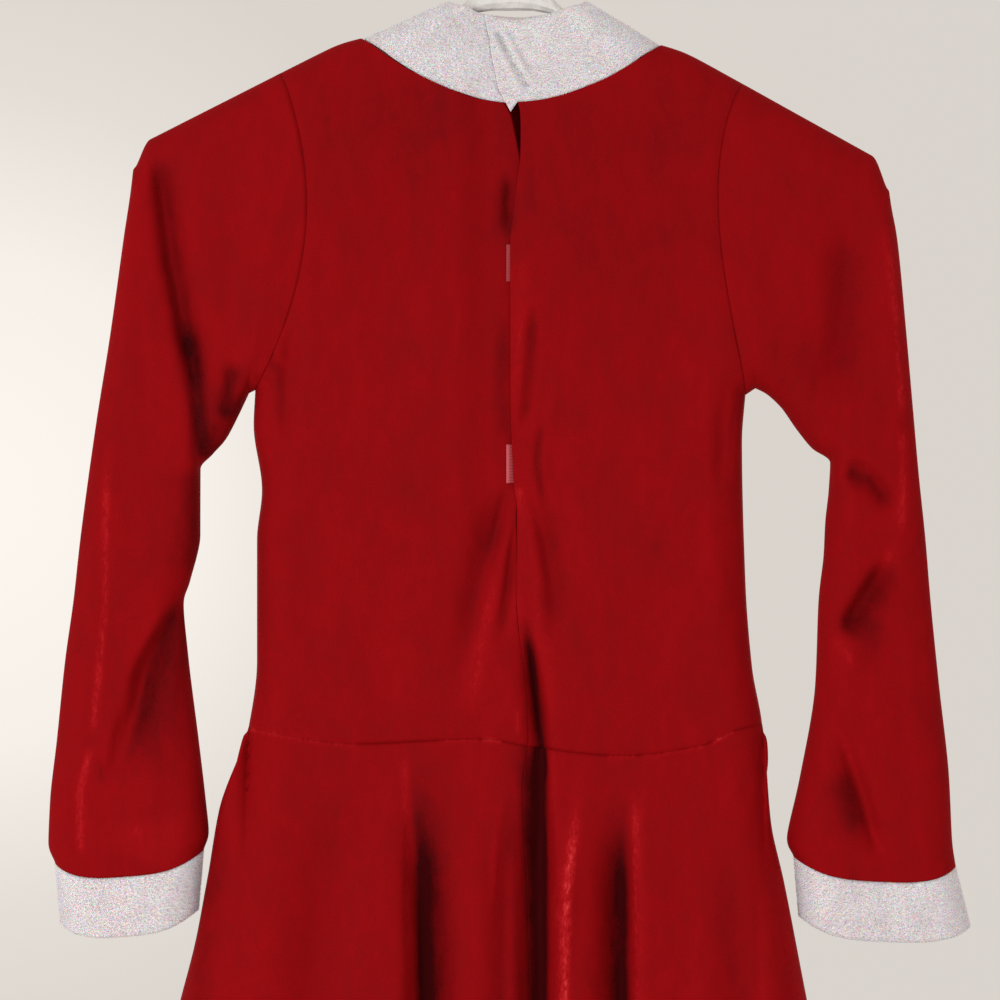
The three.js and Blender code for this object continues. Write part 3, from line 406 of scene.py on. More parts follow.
def wander(x, z, turn, height):
    total = np.zeros(np.broadcast(x, z).shape)
    for k, (length, share) in enumerate(WAVES):
        angle = turn + 1.9 * k
        across = x * math.cos(angle) + 0.55 * z * math.sin(angle)
        beside = z * math.cos(angle + 0.7) * 0.5 - x * math.sin(angle + 0.7)
        phase = 2.3 * np.sin(2 * math.pi * beside / (length * 1.7) + 3.1 * k)
        total = total + share * np.sin(2 * math.pi * across / length + phase)
    return height * total


print("wander at the chest", round(float(wander(0.0, -300.0, 0.4, 0.5)), 3))

# %% [markdown]
# Half the depth of the hanging bodice at any place on its outline plane. It is nothing at
# the shoulder line and the side seam, where the cloth turns over, and even in between.
# Seams pull the cloth in, in a narrow groove with a soft shoulder on each side.

# %% Depth of the bodice
HANDS = ("left", "right")
BODICE_DEPTH = 17.0
EDGE_ROUND = 24.0                         # how far in the cloth takes to turn round an edge
SEAM = 0.1
LAP_STEP = 4.0
LAP_INNER_X, LAP_RISE = -34.0, 20.0       # the underlap is pushed in from here, over this far
LAP_END_Z, LAP_FADE = -382.0, 45.0        # and comes level again below this height
CENTRE_SEAM_Z, CENTRE_FADE = -378.0, 10.0
WAIST_GROOVE = (2.4, 0.8)                 # width and depth of a seam's groove
ARMHOLE_GROOVE = (2.6, 0.7)
CENTRE_GROOVE = (1.8, 0.4)
FRONT_WAIST_GROOVE = (2.0, 1.5)
FRONT_ARMHOLE_GROOVE = (2.2, 1.3)


def bodice_depth(x, z):
    left = x < 0
    neck_x = np.where(left, -NECK_HALF, NECK_HALF)
    under_x = np.where(left, UNDERARM["left"][0], UNDERARM["right"][0])
    under_z = np.where(left, UNDERARM["left"][1], UNDERARM["right"][1])
    out = np.abs(x)
    from_neck = np.hypot(NECK_HALF - out, shoulder_z(neck_x) - z)
    from_shoulder = np.where(out >= NECK_HALF, shoulder_z(x) - z, from_neck)
    edge = np.where(left, outer_x(z, "left"), outer_x(z, "right"))
    from_under = np.hypot(x - under_x, z - under_z)
    from_side = np.where(z > under_z, from_under, np.abs(edge - x))
    return BODICE_DEPTH * turned(np.minimum(from_shoulder, from_side), EDGE_ROUND)


def lap_push(x, z):
    below = 1.0 - ease((LAP_END_Z - z) / LAP_FADE)
    return LAP_STEP * ease((x - LAP_INNER_X) / LAP_RISE) * below


def groove(distance, width, depth):
    return depth * np.exp(-((distance / width) ** 2))


def back_y(x, z, hand):
    depth = bodice_depth(x, z)
    push = fold_depth(BACK_FOLDS, x, z) + fold_depth(BACK_CREASES, x, z)
    push = push + wander(x, z, 0.4 if hand == "left" else 2.0, 0.5)
    if hand == "left":
        push = push + lap_push(x, z)
    push = push + groove(z - waist_z(x), *WAIST_GROOVE)
    push = push + groove(x - armhole_x(z, hand), *ARMHOLE_GROOVE) * (z > UNDERARM[hand][1])
    seam = groove(x - from_table(BACK_EDGE[hand], z), *CENTRE_GROOVE)
    push = push + seam * ease((CENTRE_SEAM_Z - z) / CENTRE_FADE)
    return -np.maximum(depth - push * depth / BODICE_DEPTH, SEAM / 2)


def front_y(x, z):
    depth = bodice_depth(x, z)
    push = fold_depth(FRONT_FOLDS, x, z) + fold_depth(FRONT_CREASES, x, z)
    push = push + wander(x, z, 3.1, 0.6) + groove(z - waist_z(x), *FRONT_WAIST_GROOVE)
    for hand in HANDS:
        seam = groove(x - armhole_x(z, hand), *FRONT_ARMHOLE_GROOVE)
        push = push + seam * (z > UNDERARM[hand][1])
    return np.maximum(depth - push * depth / BODICE_DEPTH, SEAM / 2)


print("front of the chest", round(float(front_y(0.0, -300.0)), 2))

# %% [markdown]
# A piece of cloth starts as a flat grid whose own places run from 0 to 1 each way. Each
# point is then laid on the body of the dress by a function, as a cutter's flat piece is
# laid on a form. A Solidify modifier gives it its thickness, inwards. A sleeve is the same
# grid, closed into a tube by merging its two long edges. Its faces are turned outward
# before the wall is added. The painted shade and highlights of each point are kept in a
# point attribute.

# %% Cloth from a grid
VELVET = 1.8
PLUSH = 3.5


def new_object(name, mesh, material):
    piece = bpy.data.objects.new(name, mesh)
    bpy.context.scene.collection.objects.link(piece)
    piece.data.materials.append(material)
    return piece


def face_outward(mesh, side):
    """Turns faces to look along side * Y or, with side 0, away from the middle plane."""
    total = sum(p.normal.y * (side or p.center.y) * p.area for p in mesh.polygons)
    if total < 0:
        mesh.flip_normals()


def cloth(name, cols, rows, place, thickness, material, side=0, tube=False, painted_light=None):
    """One piece: side is -1 on the back, 1 on the front and 0 where it goes round."""
    bm = bmesh.new()
    bmesh.ops.create_grid(bm, x_segments=cols, y_segments=rows, size=0.5)
    bmesh.ops.translate(bm, verts=bm.verts, vec=(0.5, 0.5, 0.0))
    u = np.array([v.co.x for v in bm.verts])
    v = np.array([1.0 - v.co.y for v in bm.verts])
    x, y, z = place(u, v)
    for vert, px, py, pz in zip(bm.verts, x * MM, y * MM, z * MM):
        vert.co = (px, py, pz)
    # Painted shade and highlights are stored for each point, for the velvet's colour.
    if painted_light:
        layer = bm.verts.layers.float.new("painted_light")
        for vert, per_point_value in zip(bm.verts, painted_light(x, y, z)):
            vert[layer] = per_point_value
    if tube:
        bmesh.ops.remove_doubles(bm, verts=bm.verts, dist=0.02 * MM)
    bmesh.ops.recalc_face_normals(bm, faces=bm.faces)
    for face in bm.faces:
        face.smooth = True
    mesh = bpy.data.meshes.new(name)
    bm.to_mesh(mesh)
    bm.free()
    face_outward(mesh, side)
    piece = new_object(name, mesh, material)
    wall = piece.modifiers.new("wall", "SOLIDIFY")
    wall.thickness = thickness * MM
    wall.offset = -1.0
    wall.use_even_offset = False
    print(name, "faces", len(mesh.polygons))
    return piece


print("walls of", VELVET, "mm in velvet and", PLUSH, "mm in plush")

# %% [markdown]
# Colours are read as screen values, in hex, and turned to linear light by one function.
# Shader nodes could be wired by hand in the editor. Here one function adds a node with its
# settings and its inputs, each a value or a link, so that a material reads from top to
# bottom.

# %% Helpers for materials
NOISE_LOW, NOISE_HIGH = 0.3, 0.7      # nearly all of a noise texture lies between these


def colour(hex_value):
    channels = [int(hex_value[i:i + 2], 16) / 255.0 for i in (1, 3, 5)]
    linear = [c / 12.92 if c <= 0.04045 else ((c + 0.055) / 1.055) ** 2.4 for c in channels]
    return (*linear, 1.0)


def node(material, kind, inputs, stops=(), **settings):
    """Adds a shader node. Its inputs, by name or number, are values or sockets to link."""
    made = material.node_tree.nodes.new(kind)
    for name, value in settings.items():
        setattr(made, name, value)
    if stops:
        elements = made.color_ramp.elements
        elements[0].position, elements[0].color = stops[0][0], colour(stops[0][1])
        elements[1].position, elements[1].color = stops[-1][0], colour(stops[-1][1])
        for place, hex_value in stops[1:-1]:
            elements.new(place).color = colour(hex_value)
    for key, value in inputs.items():
        if isinstance(value, bpy.types.NodeSocket):
            material.node_tree.links.new(value, made.inputs[key])
        else:
            made.inputs[key].default_value = value
    return made


def new_material(name):
    material = bpy.data.materials.new(name)
    material.use_nodes = True
    material.node_tree.nodes.clear()
    return material


def per_metre(length_mm):
    """Scale of a noise whose features are about this long."""
    return 1000.0 / length_mm


print("middle grey in linear light", [round(c, 3) for c in colour("#808080")])

# %% [markdown]
# Stretch velvet is a knit with a short cut pile. Its pile leans in patches where it was
# handled, so it looks mottled: darker where it points at the eye, lighter where it lies
# over. Where the cloth turns away, the pile tips catch light as a soft red sheen. Real hairs
# over the whole dress would be too heavy and too fine to see, so the pile is a pattern: two
# noises for its patches and streaks and a third for its tufts. Painted shade in the folds and
# painted highlights along the ridges come from a point attribute, broken up by a fourth
# noise. A ramp turns the sum into the reds of the cloth.

# %% Crushed stretch velvet
NAP_PATCH = 26.0      # patches of leaning pile
NAP_STREAK = 7.0      # finer streaks along the fall of the cloth
HIGHLIGHT_BREAKUP = 2.0       # how finely a painted highlight streak breaks up
PILE_GRAIN = 1.1      # tufts, drawn coarser than real so that they show
ALONG_FALL = (1.0, 1.0, 0.45)      # patterns are longer down the cloth than across
STREAK_SHARE = 0.45
GRAIN_SHARE = 0.25
EVEN_TONE = (0.17, 0.83)        # reach of the mottling on the ramp of reds
PAINTED_SHADE_TONE = -0.23               # painted shade, for a value of 1
PAINTED_HIGHLIGHT_TONE = (-0.12, -0.42)    # painted highlight, for a value of -1, from dull to bright
VELVET_ROUGH = (0.66, 0.9)
# The darkest and brightest reds are mostly reached by the painted shade and painted highlights.
VELVET_TONES = [(0.08, "#3c0205"), (0.26, "#72060b"), (0.42, "#8b080e"), (0.52, "#95090f"),
                (0.62, "#9e0b12"), (0.78, "#b6191f"), (0.95, "#d83b3c")]


def velvet_material():
    material = new_material("crushed_stretch_velvet")
    place = node(material, "ShaderNodeTexCoord", {}).outputs["Object"]
    fall = node(material, "ShaderNodeMapping", {0: place, "Scale": ALONG_FALL}).outputs[0]
    patch = node(material, "ShaderNodeTexNoise", {
        0: fall, "Scale": per_metre(NAP_PATCH), "Detail": 4.0, "Roughness": 0.6,
        "Distortion": 0.6}).outputs["Fac"]
    streak = node(material, "ShaderNodeTexNoise", {
        0: fall, "Scale": per_metre(NAP_STREAK), "Detail": 5.0, "Roughness": 0.65,
        "Distortion": 0.3}).outputs["Fac"]
    grain = node(material, "ShaderNodeTexNoise", {
        0: place, "Scale": per_metre(PILE_GRAIN), "Detail": 2.0, "Roughness": 0.7}).outputs["Fac"]
    even = node(material, "ShaderNodeMix", {0: STREAK_SHARE, 2: patch, 3: streak},
                data_type="FLOAT").outputs[0]
    mottled = node(material, "ShaderNodeMix", {0: GRAIN_SHARE, 2: even, 3: grain},
                   data_type="FLOAT").outputs[0]
    quiet = node(material, "ShaderNodeMapRange", {
        0: mottled, 3: EVEN_TONE[0], 4: EVEN_TONE[1]}).outputs[0]

    # Painted shade in folds and painted highlights on ridges, read from the point attribute.
    per_point_value = node(material, "ShaderNodeAttribute", {}, attribute_name="painted_light").outputs["Fac"]
    shade_part = node(material, "ShaderNodeMath", {0: per_point_value, 1: 0.0}, operation="MAXIMUM").outputs[0]
    painted_shade = node(material, "ShaderNodeMath", {0: shade_part, 1: PAINTED_SHADE_TONE},
                operation="MULTIPLY").outputs[0]
    highlight_noise = node(material, "ShaderNodeTexNoise", {
        0: fall, "Scale": per_metre(HIGHLIGHT_BREAKUP), "Detail": 3.0, "Roughness": 0.7}).outputs["Fac"]
    broken_highlight_tone = node(material, "ShaderNodeMapRange", {
        0: highlight_noise, 1: NOISE_LOW, 2: NOISE_HIGH, 3: PAINTED_HIGHLIGHT_TONE[0], 4: PAINTED_HIGHLIGHT_TONE[1]}).outputs[0]
    highlight_part = node(material, "ShaderNodeMath", {0: per_point_value, 1: 0.0}, operation="MINIMUM").outputs[0]
    painted_highlight = node(material, "ShaderNodeMath", {0: highlight_part, 1: broken_highlight_tone},
                  operation="MULTIPLY").outputs[0]
    painted_light = node(material, "ShaderNodeMath", {0: painted_shade, 1: painted_highlight}, operation="ADD").outputs[0]
    tone = node(material, "ShaderNodeMath", {0: quiet, 1: painted_light}, operation="ADD").outputs[0]

    red = node(material, "ShaderNodeValToRGB", {0: tone}, VELVET_TONES).outputs["Color"]
    rough = node(material, "ShaderNodeMapRange", {
        0: even, 1: NOISE_LOW, 2: NOISE_HIGH, 3: VELVET_ROUGH[0], 4: VELVET_ROUGH[1]}).outputs[0]
    soft = node(material, "ShaderNodeBump", {
        "Strength": 0.22, "Distance": 0.0012, "Height": even}).outputs[0]
    fine = node(material, "ShaderNodeBump", {
        "Strength": 0.4, "Distance": 0.0004, "Height": grain, "Normal": soft}).outputs[0]
    skin = node(material, "ShaderNodeBsdfPrincipled", {
        "Base Color": red, "Roughness": rough, "Normal": fine, "Specular IOR Level": 0.04,
        "Sheen Weight": 0.22, "Sheen Roughness": 0.35, "Sheen Tint": colour("#ff2c2c")})
    node(material, "ShaderNodeOutputMaterial", {0: skin.outputs[0]})
    return material


velvet = velvet_material()
print("material", velvet.name)

# %% [markdown]
# The collar and cuffs are white plush: a dense, short, dull pile on a knitted back. It
# scatters light inside itself, so its shadows are soft and a little warm. The material gives
# the light inside and the uneven clumps, and real tufts are planted on it further down.

# %% White plush
PLUSH_TUFT = 2.2
PLUSH_CLUMP = 11.0
PLUSH_TONES = [(0.3, "#efe2e4"), (0.5, "#f6ecee"), (0.7, "#fcf6f6")]


def plush_material():
    material = new_material("white_plush")
    place = node(material, "ShaderNodeTexCoord", {}).outputs["Object"]
    clump = node(material, "ShaderNodeTexNoise", {
        0: place, "Scale": per_metre(PLUSH_CLUMP), "Detail": 4.0, "Roughness": 0.6}).outputs["Fac"]
    tuft = node(material, "ShaderNodeTexNoise", {
        0: place, "Scale": per_metre(PLUSH_TUFT), "Detail": 3.0, "Roughness": 0.7}).outputs["Fac"]
    mixed = node(material, "ShaderNodeMix", {0: 0.5, 2: clump, 3: tuft},
                 data_type="FLOAT").outputs[0]
    white = node(material, "ShaderNodeValToRGB", {0: mixed}, PLUSH_TONES).outputs["Color"]
    soft = node(material, "ShaderNodeBump", {
        "Strength": 0.3, "Distance": 0.0015, "Height": clump}).outputs[0]
    fine = node(material, "ShaderNodeBump", {
        "Strength": 0.25, "Distance": 0.0008, "Height": tuft, "Normal": soft}).outputs[0]
    skin = node(material, "ShaderNodeBsdfPrincipled", {
        "Base Color": white, "Normal": fine, "Roughness": 0.95, "Specular IOR Level": 0.1,
        "Sheen Weight": 0.6, "Sheen Roughness": 0.6, "Subsurface Weight": 0.6,
        "Subsurface Scale": 0.003})
    node(material, "ShaderNodeOutputMaterial", {0: skin.outputs[0]})
    return material


plush = plush_material()
print("material", plush.name)

# %% [markdown]
# The hanger is moulded polystyrene: white, smooth and a little glossy, with a faint
# unevenness from the mould and a few rub marks. One even gloss would look like wet paint, so
# a noise varies both the gloss and the white.

# %% Moulded plastic
MOULD_RIPPLE = 18.0
RUB_MARK = 5.0
PLASTIC_ROUGH = (0.28, 0.46)
PLASTIC_TONES = [(0.35, "#dad7d2"), (0.6, "#ebe9e5")]
POLYSTYRENE_IOR = 1.55


def plastic_material():
    material = new_material("moulded_white_plastic")
    place = node(material, "ShaderNodeTexCoord", {}).outputs["Object"]
    ripple = node(material, "ShaderNodeTexNoise", {
        0: place, "Scale": per_metre(MOULD_RIPPLE), "Detail": 2.0}).outputs["Fac"]
    rub = node(material, "ShaderNodeTexNoise", {
        0: place, "Scale": per_metre(RUB_MARK), "Detail": 6.0, "Roughness": 0.7}).outputs["Fac"]
    white = node(material, "ShaderNodeValToRGB", {0: rub}, PLASTIC_TONES).outputs["Color"]
    rough = node(material, "ShaderNodeMapRange", {
        0: rub, 1: NOISE_LOW, 2: NOISE_HIGH, 3: PLASTIC_ROUGH[0], 4: PLASTIC_ROUGH[1]}).outputs[0]
    bump = node(material, "ShaderNodeBump", {
        "Strength": 0.15, "Distance": 0.001, "Height": ripple}).outputs[0]
    skin = node(material, "ShaderNodeBsdfPrincipled", {
        "Base Color": white, "Roughness": rough, "Normal": bump, "IOR": POLYSTYRENE_IOR})
    node(material, "ShaderNodeOutputMaterial", {0: skin.outputs[0]})
    return material


plastic = plastic_material()
print("material", plastic.name)

# %% [markdown]
# The tabs of the back opening are woven nylon tape. It took up the dye of the velvet, so it
# is a dull red, with a paler selvedge along the edge that shows. The lower tab's selvedge is
# the lighter one. The crosswise threads are a wave pattern, and a noise stands for the loops.

# %% Woven tape
TAPE_THREAD = 0.9
TAPE_LOOP = 1.5
WAVE_THREADS = 6.3      # threads in a metre of a wave texture whose scale is 1
SELVEDGE_X = (-0.0024, -0.0012)     # metres across: the selvedge fades out between these
UPPER_TAB_Z = (-0.3, -0.28)         # metres: the lower tab lies below, the upper one above
TAPE_TONES = [(0.3, "#93202a"), (0.7, "#b33a42")]
SELVEDGE_TONES = [(0.0, "#cf565c"), (1.0, "#a8333b")]


def tape_material():
    material = new_material("woven_nylon_tape")
    place = node(material, "ShaderNodeTexCoord", {}).outputs["Object"]
    weft = node(material, "ShaderNodeTexWave", {
        0: place, "Scale": per_metre(TAPE_THREAD) / WAVE_THREADS, "Distortion": 1.0,
        "Detail": 2.0}, bands_direction="Z").outputs["Fac"]
    loops = node(material, "ShaderNodeTexNoise", {
        0: place, "Scale": per_metre(TAPE_LOOP), "Detail": 3.0}).outputs["Fac"]
    woven = node(material, "ShaderNodeMix", {0: 0.5, 2: weft, 3: loops},
                 data_type="FLOAT").outputs[0]
    red = node(material, "ShaderNodeValToRGB", {0: woven}, TAPE_TONES).outputs["Color"]
    parts = node(material, "ShaderNodeSeparateXYZ", {0: place}).outputs
    inside = node(material, "ShaderNodeMapRange", {
        0: parts["X"], 1: SELVEDGE_X[0], 2: SELVEDGE_X[1]}).outputs[0]
    upper = node(material, "ShaderNodeMapRange", {
        0: parts["Z"], 1: UPPER_TAB_Z[0], 2: UPPER_TAB_Z[1]}).outputs[0]
    pale = node(material, "ShaderNodeValToRGB", {0: upper}, SELVEDGE_TONES).outputs["Color"]
    dyed = node(material, "ShaderNodeMix", {0: inside, 6: pale, 7: red},
                data_type="RGBA").outputs[2]
    bump = node(material, "ShaderNodeBump", {
        "Strength": 0.6, "Distance": 0.0005, "Height": woven}).outputs[0]
    skin = node(material, "ShaderNodeBsdfPrincipled", {
        "Base Color": dyed, "Roughness": 0.7, "Normal": bump})
    node(material, "ShaderNodeOutputMaterial", {0: skin.outputs[0]})
    return material


tape_cloth = tape_material()
print("material", tape_cloth.name)

# %% [markdown]
# The back of the bodice is cut in two halves. The right half laps over the left, and both
# run from the neckline and the shoulder down to the dropped waist. Each is laid as one
# grid: across from the centre back edge to the armhole and side, down in even steps that
# crowd together at the shoulder, the underarm and the waist seam, where the cloth turns.

# %% Bodice back
SIGN = {"left": -1.0, "right": 1.0}
BACK_NECK_DROP = 38.5
WAIST_SIDE = {"left": -158.0, "right": 150.0}
WAIST_CENTRE_Z = -517.0
SEAM_CLEAR = 0.1
NECK_SHARE = 11.0 / 18.0      # share of the columns that end on the neckline
CROWD = 1.15                  # columns crowd a little toward the centre back
TOP_BLEND = 0.35              # share of the way down over which columns straighten


def row_share(v, hand):
    """Share of the way down for a row: v from 0 to 1, half of it along the armhole."""
    tip_z = float(shoulder_z(SIGN[hand] * SHOULDER_X))
    waist = float(waist_z(WAIST_SIDE[hand]))
    arm = (tip_z - UNDERARM[hand][1]) / (tip_z - waist)
    upper = arm * (1.0 - np.cos(math.pi * np.minimum(v, 0.5) * 2.0)) / 2.0
    lower = lerp(arm, 1.0, np.clip(v * 2.0 - 1.0, 0.0, 1.0))
    return np.where(v <= 0.5, upper, lower)


def centre_x(z, hand):
    return from_table(BACK_EDGE[hand], z) + SIGN[hand] * SEAM_CLEAR / 2


def back_place(u, v, hand):
    tip_x = SIGN[hand] * SHOULDER_X
    neck_x = SIGN[hand] * NECK_HALF
    top_x = centre_x(np.float64(neck_z(0.0, BACK_NECK_DROP)), hand)
    neck_part = (neck_x - top_x) / (tip_x - top_x)
    on_neck = neck_part * u / NECK_SHARE
    on_shoulder = lerp(neck_part, 1.0, (u - NECK_SHARE) / (1.0 - NECK_SHARE))
    at_top = np.where(u <= NECK_SHARE, on_neck, on_shoulder)
    even = u ** CROWD
    x_top = lerp(top_x, tip_x, at_top)
    z_top = np.where(u <= NECK_SHARE, neck_z(x_top, BACK_NECK_DROP), shoulder_z(x_top))
    x_low = lerp(centre_x(np.float64(WAIST_CENTRE_Z), hand), WAIST_SIDE[hand], even)
    share = row_share(v, hand)
    z = lerp(z_top, waist_z(x_low), share)
    across = lerp(at_top, even, ease(share / TOP_BLEND))
    x = lerp(centre_x(z, hand), outer_x(z, hand), across)
    return x, back_y(x, z, hand), z


backs = {}
for hand in HANDS:
    place = lambda u, v, hand=hand: back_place(u, v, hand)
    piece = cloth("velvet_back_" + hand, 110, 170, place, VELVET, velvet, -1, painted_light=painted_light_of(BACK_PAINTED_LIGHT))
    backs[hand] = piece
    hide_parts("bodice_back_" + hand)

# %% [markdown]
# The front is one piece without an opening. It is hidden in the picture, so it is plain: a
# scooped neckline, and the same kind of soft folds under the arms and above the waist. Its
# grid runs from one side of the dress to the other, so that no seam shows down the middle.

# %% Bodice front
FRONT_NECK_DROP = 33.0
FRONT_SHOULDER_SHARE = 4.0 / 24.0


def front_place(u, v):
    share = lerp(row_share(v, "left"), row_share(v, "right"), u)
    in_neck = (u - FRONT_SHOULDER_SHARE) / (1.0 - 2.0 * FRONT_SHOULDER_SHARE)
    x_top = lerp(-NECK_HALF, NECK_HALF, in_neck)
    from_left = u / FRONT_SHOULDER_SHARE
    x_top = np.where(in_neck < 0.0, lerp(-SHOULDER_X, -NECK_HALF, from_left), x_top)
    from_right = (1.0 - u) / FRONT_SHOULDER_SHARE
    x_top = np.where(in_neck > 1.0, lerp(SHOULDER_X, NECK_HALF, from_right), x_top)
    on_shoulder = (in_neck < 0.0) | (in_neck > 1.0)
    z_top = np.where(on_shoulder, shoulder_z(x_top), neck_z(x_top, FRONT_NECK_DROP))
    x_low = lerp(WAIST_SIDE["left"], WAIST_SIDE["right"], u)
    z = lerp(z_top, waist_z(x_low), share)
    at_top = (x_top + SHOULDER_X) / (2.0 * SHOULDER_X)
    across = lerp(at_top, u, ease(share / TOP_BLEND))
    x = lerp(outer_x(z, "left"), outer_x(z, "right"), across)
    return x, front_y(x, z), z


front = cloth("velvet_front", 110, 110, front_place, VELVET, velvet, 1)
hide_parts("bodice_front")

# %% [markdown]
# The skirt is flared: cut wider at the hem than at the waist, so that it falls in soft
# pipes with deep valleys between them. The valleys are uneven. The deepest lies right of
# the centre seam, where the lap of the bodice holds the cloth back, and its edge is crisp.

# %% Skirt folds
SKIRT_BACK_FOLDS = [
    ((-104, -520), (-116, -650), (-130, -800), 15, 15, 7, 0.5, 0.01),
    ((-60, -525), (-52, -640), (-48, -800), 8, 15, 18, 0.5, 0.01),
    ((-4, -530), (-6, -640), (-8, -800), 9, 6, 5, 0.4, 0.01),
    ((15, -505), (15, -620), (17, -800), 14, 8, 18, 0.35, 0.01),
    ((62, -530), (63, -640), (66, -800), 12, 8, 15, 0.4, 0.01),
    ((122, -540), (134, -660), (148, -800), 13, 12, 7, 0.6, 0.01),
]
SKIRT_BACK_CREASES = [
    ((-62, -519), (-61, -590), (-57, -790), 2.5, 6, 3.0, 0.4, 0.01),
    ((21, -512), (23, -600), (23, -790), 6, 2.2, 5.0, 0.3, 0.01),
    ((68, -526), (70, -610), (70, -790), 7, 2.5, 3.5, 0.4, 0.01),
    ((-8, -530), (-10, -580), (-12, -640), 3, 2, -1.2, 0.4, 0.5),
    ((40, -545), (34, -600), (28, -700), 3, 4, -2.0, 0.4, 0.3),
    ((146, -590), (147, -640), (150, -760), 4, 5, 1.6, 0.4, 0.3),
    ((-176, -570), (-178, -640), (-188, -760), 6, 7, 2.5, 0.5, 0.3),
    ((-146, -530), (-158, -600), (-172, -760), 10, 9, 2.5, 0.4, 0.2),
    ((96, -530), (100, -600), (106, -760), 12, 10, 2.0, 0.5, 0.2),
    ((-88, -524), (-90, -560), (-92, -620), 6, 6, 1.2, 0.3, 0.5),
]
SKIRT_FRONT_FOLDS = [
    ((-118, -520), (-132, -650), (-150, -800), 14, 12, 10, 0.5, 0.01),
    ((-72, -522), (-78, -640), (-86, -800), 13, 13, 15, 0.5, 0.01),
    ((-22, -520), (-20, -640), (-18, -800), 12, 13, 13, 0.5, 0.01),
    ((30, -522), (36, -640), (42, -800), 12, 14, 17, 0.5, 0.01),
    ((86, -524), (96, -640), (108, -800), 13, 13, 12, 0.5, 0.01),
]
SKIRT_FRONT_CREASES = [
    ((-78, -530), (-84, -640), (-92, -790), 2.5, 6, 3.0, 0.5, 0.01),
    ((36, -530), (43, -640), (50, -790), 6, 2.5, 3.5, 0.5, 0.01),
    ((118, -540), (130, -640), (144, -780), 8, 8, 3.0, 0.5, 0.1),
]
print("pipes of the skirt", len(SKIRT_BACK_FOLDS), "and", len(SKIRT_FRONT_FOLDS))

# %% [markdown]
# The skirt stands out from its outline plane by a depth that grows from waist to hem. The
# folds are taken off that depth, so that the valleys go in and the pipes stay round. At the
# waist the skirt starts from the depth of the bodice above it.

# %% Depth of the skirt
WAIST_SIDE_Z = -511.0
HEM_RISE = 6.0
HEM_DEPTH = 42.0
HEM_ROUND = 62.0
FLARE_CURVE = 0.8
EDGE_CALM = 15.0        # the cloth's wander fades out this near a side seam


def skirt_y(x, z, folds, above):
    waist = waist_z(x)
    t = np.clip((waist - z) / (waist - HEM_Z), 0.0, 1.0)
    edge = np.where(x < 0, outer_x(z, "left"), outer_x(z, "right"))
    flare = lerp(BODICE_DEPTH, HEM_DEPTH, t ** FLARE_CURVE)
    share = turned(np.abs(edge - x), lerp(EDGE_ROUND, HEM_ROUND, t))
    push = np.zeros(np.broadcast(x, z).shape)
    for rows in folds + above:
        push = push + fold_depth(rows, x, z)
    push = push + groove(z - waist, *WAIST_GROOVE)
    return np.maximum((flare - push) * share, SEAM / 2)


def skirt_place(u, v, across_of, edges, y_at_waist, folds, above, side):
    across = across_of(u)
    start, end = edges
    x_low = lerp(start(np.float64(WAIST_CENTRE_Z)), end(np.float64(WAIST_SIDE_Z)), across)
    top_z = waist_z(x_low) - SEAM
    hem_x = lerp(start(np.float64(HEM_Z)), end(np.float64(HEM_Z)), across)
    hem_z = HEM_Z + HEM_RISE * (hem_x / SIDE["right"][-1][1]) ** 2
    z = lerp(top_z, hem_z, v)
    x = lerp(start(z), end(z), across)
    edge = np.where(x < 0, outer_x(z, "left"), outer_x(z, "right"))
    loose = ease(v * 4.0) * ease(np.abs(edge - x) / EDGE_CALM)
    bent = skirt_y(x, z, folds, above) + wander(x, z, 1.1 * side, 0.7) * loose
    y = lerp(np.abs(y_at_waist(x, z)), bent, ease(v * 3.0))
    return x, side * np.maximum(y, SEAM / 2), z


def skirt_edges(hand):
    seam = lambda z: from_table(BACK_EDGE["left"], z) + SIGN[hand] * SEAM_CLEAR / 2
    return seam, (lambda z: outer_x(z, hand))


print("the hem is", 2.0 * HEM_DEPTH, "mm deep")

# %% [markdown]
# The back of the skirt is two pieces joined at the centre, and its front is one. Each could
# be a flat panel that is gathered, but then the waist would gape. Their top edges start from
# the bodice's lower edge instead, so the waist seam closes all round.

# %% Skirt
BACK_SKIRT = ([SKIRT_BACK_FOLDS, SKIRT_BACK_CREASES], [BACK_FOLDS, BACK_CREASES])
FRONT_SKIRT = ([SKIRT_FRONT_FOLDS, SKIRT_FRONT_CREASES], [FRONT_FOLDS, FRONT_CREASES])
skirts = {}
for hand in HANDS:
    at_waist = lambda x, z, hand=hand: back_y(x, np.maximum(z, waist_z(x)), hand)
    place = lambda u, v, hand=hand, at_waist=at_waist: skirt_place(
        u, v, lambda w: w ** CROWD, skirt_edges(hand), at_waist, *BACK_SKIRT, -1.0)
    painted_light = painted_light_of(SKIRT_PAINTED_LIGHT + BACK_PAINTED_LIGHT)
    piece = cloth("velvet_skirt_back_" + hand, 140, 110, place, VELVET, velvet, -1, painted_light=painted_light)
    skirts[hand] = piece
    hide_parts("skirt_back_" + hand)

sides = ((lambda z: outer_x(z, "left")), (lambda z: outer_x(z, "right")))
at_waist = lambda x, z: front_y(x, np.maximum(z, waist_z(x)))
place = lambda u, v: skirt_place(u, v, lambda w: w, sides, at_waist, *FRONT_SKIRT, 1.0)
skirt_front = cloth("velvet_skirt_front", 170, 80, place, VELVET, velvet, 1)
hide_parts("skirt_front")

# %% [markdown]
# A sleeve is one piece with its seam under the arm, and it hangs flat from the shoulder.
# Each row of a table is one section across the flat tube, from its outer edge to its inner
# edge, with its half depth and how far in the cloth takes to turn round the edge. The
# sections between are read smoothly from the rows, and the first one is the armhole.

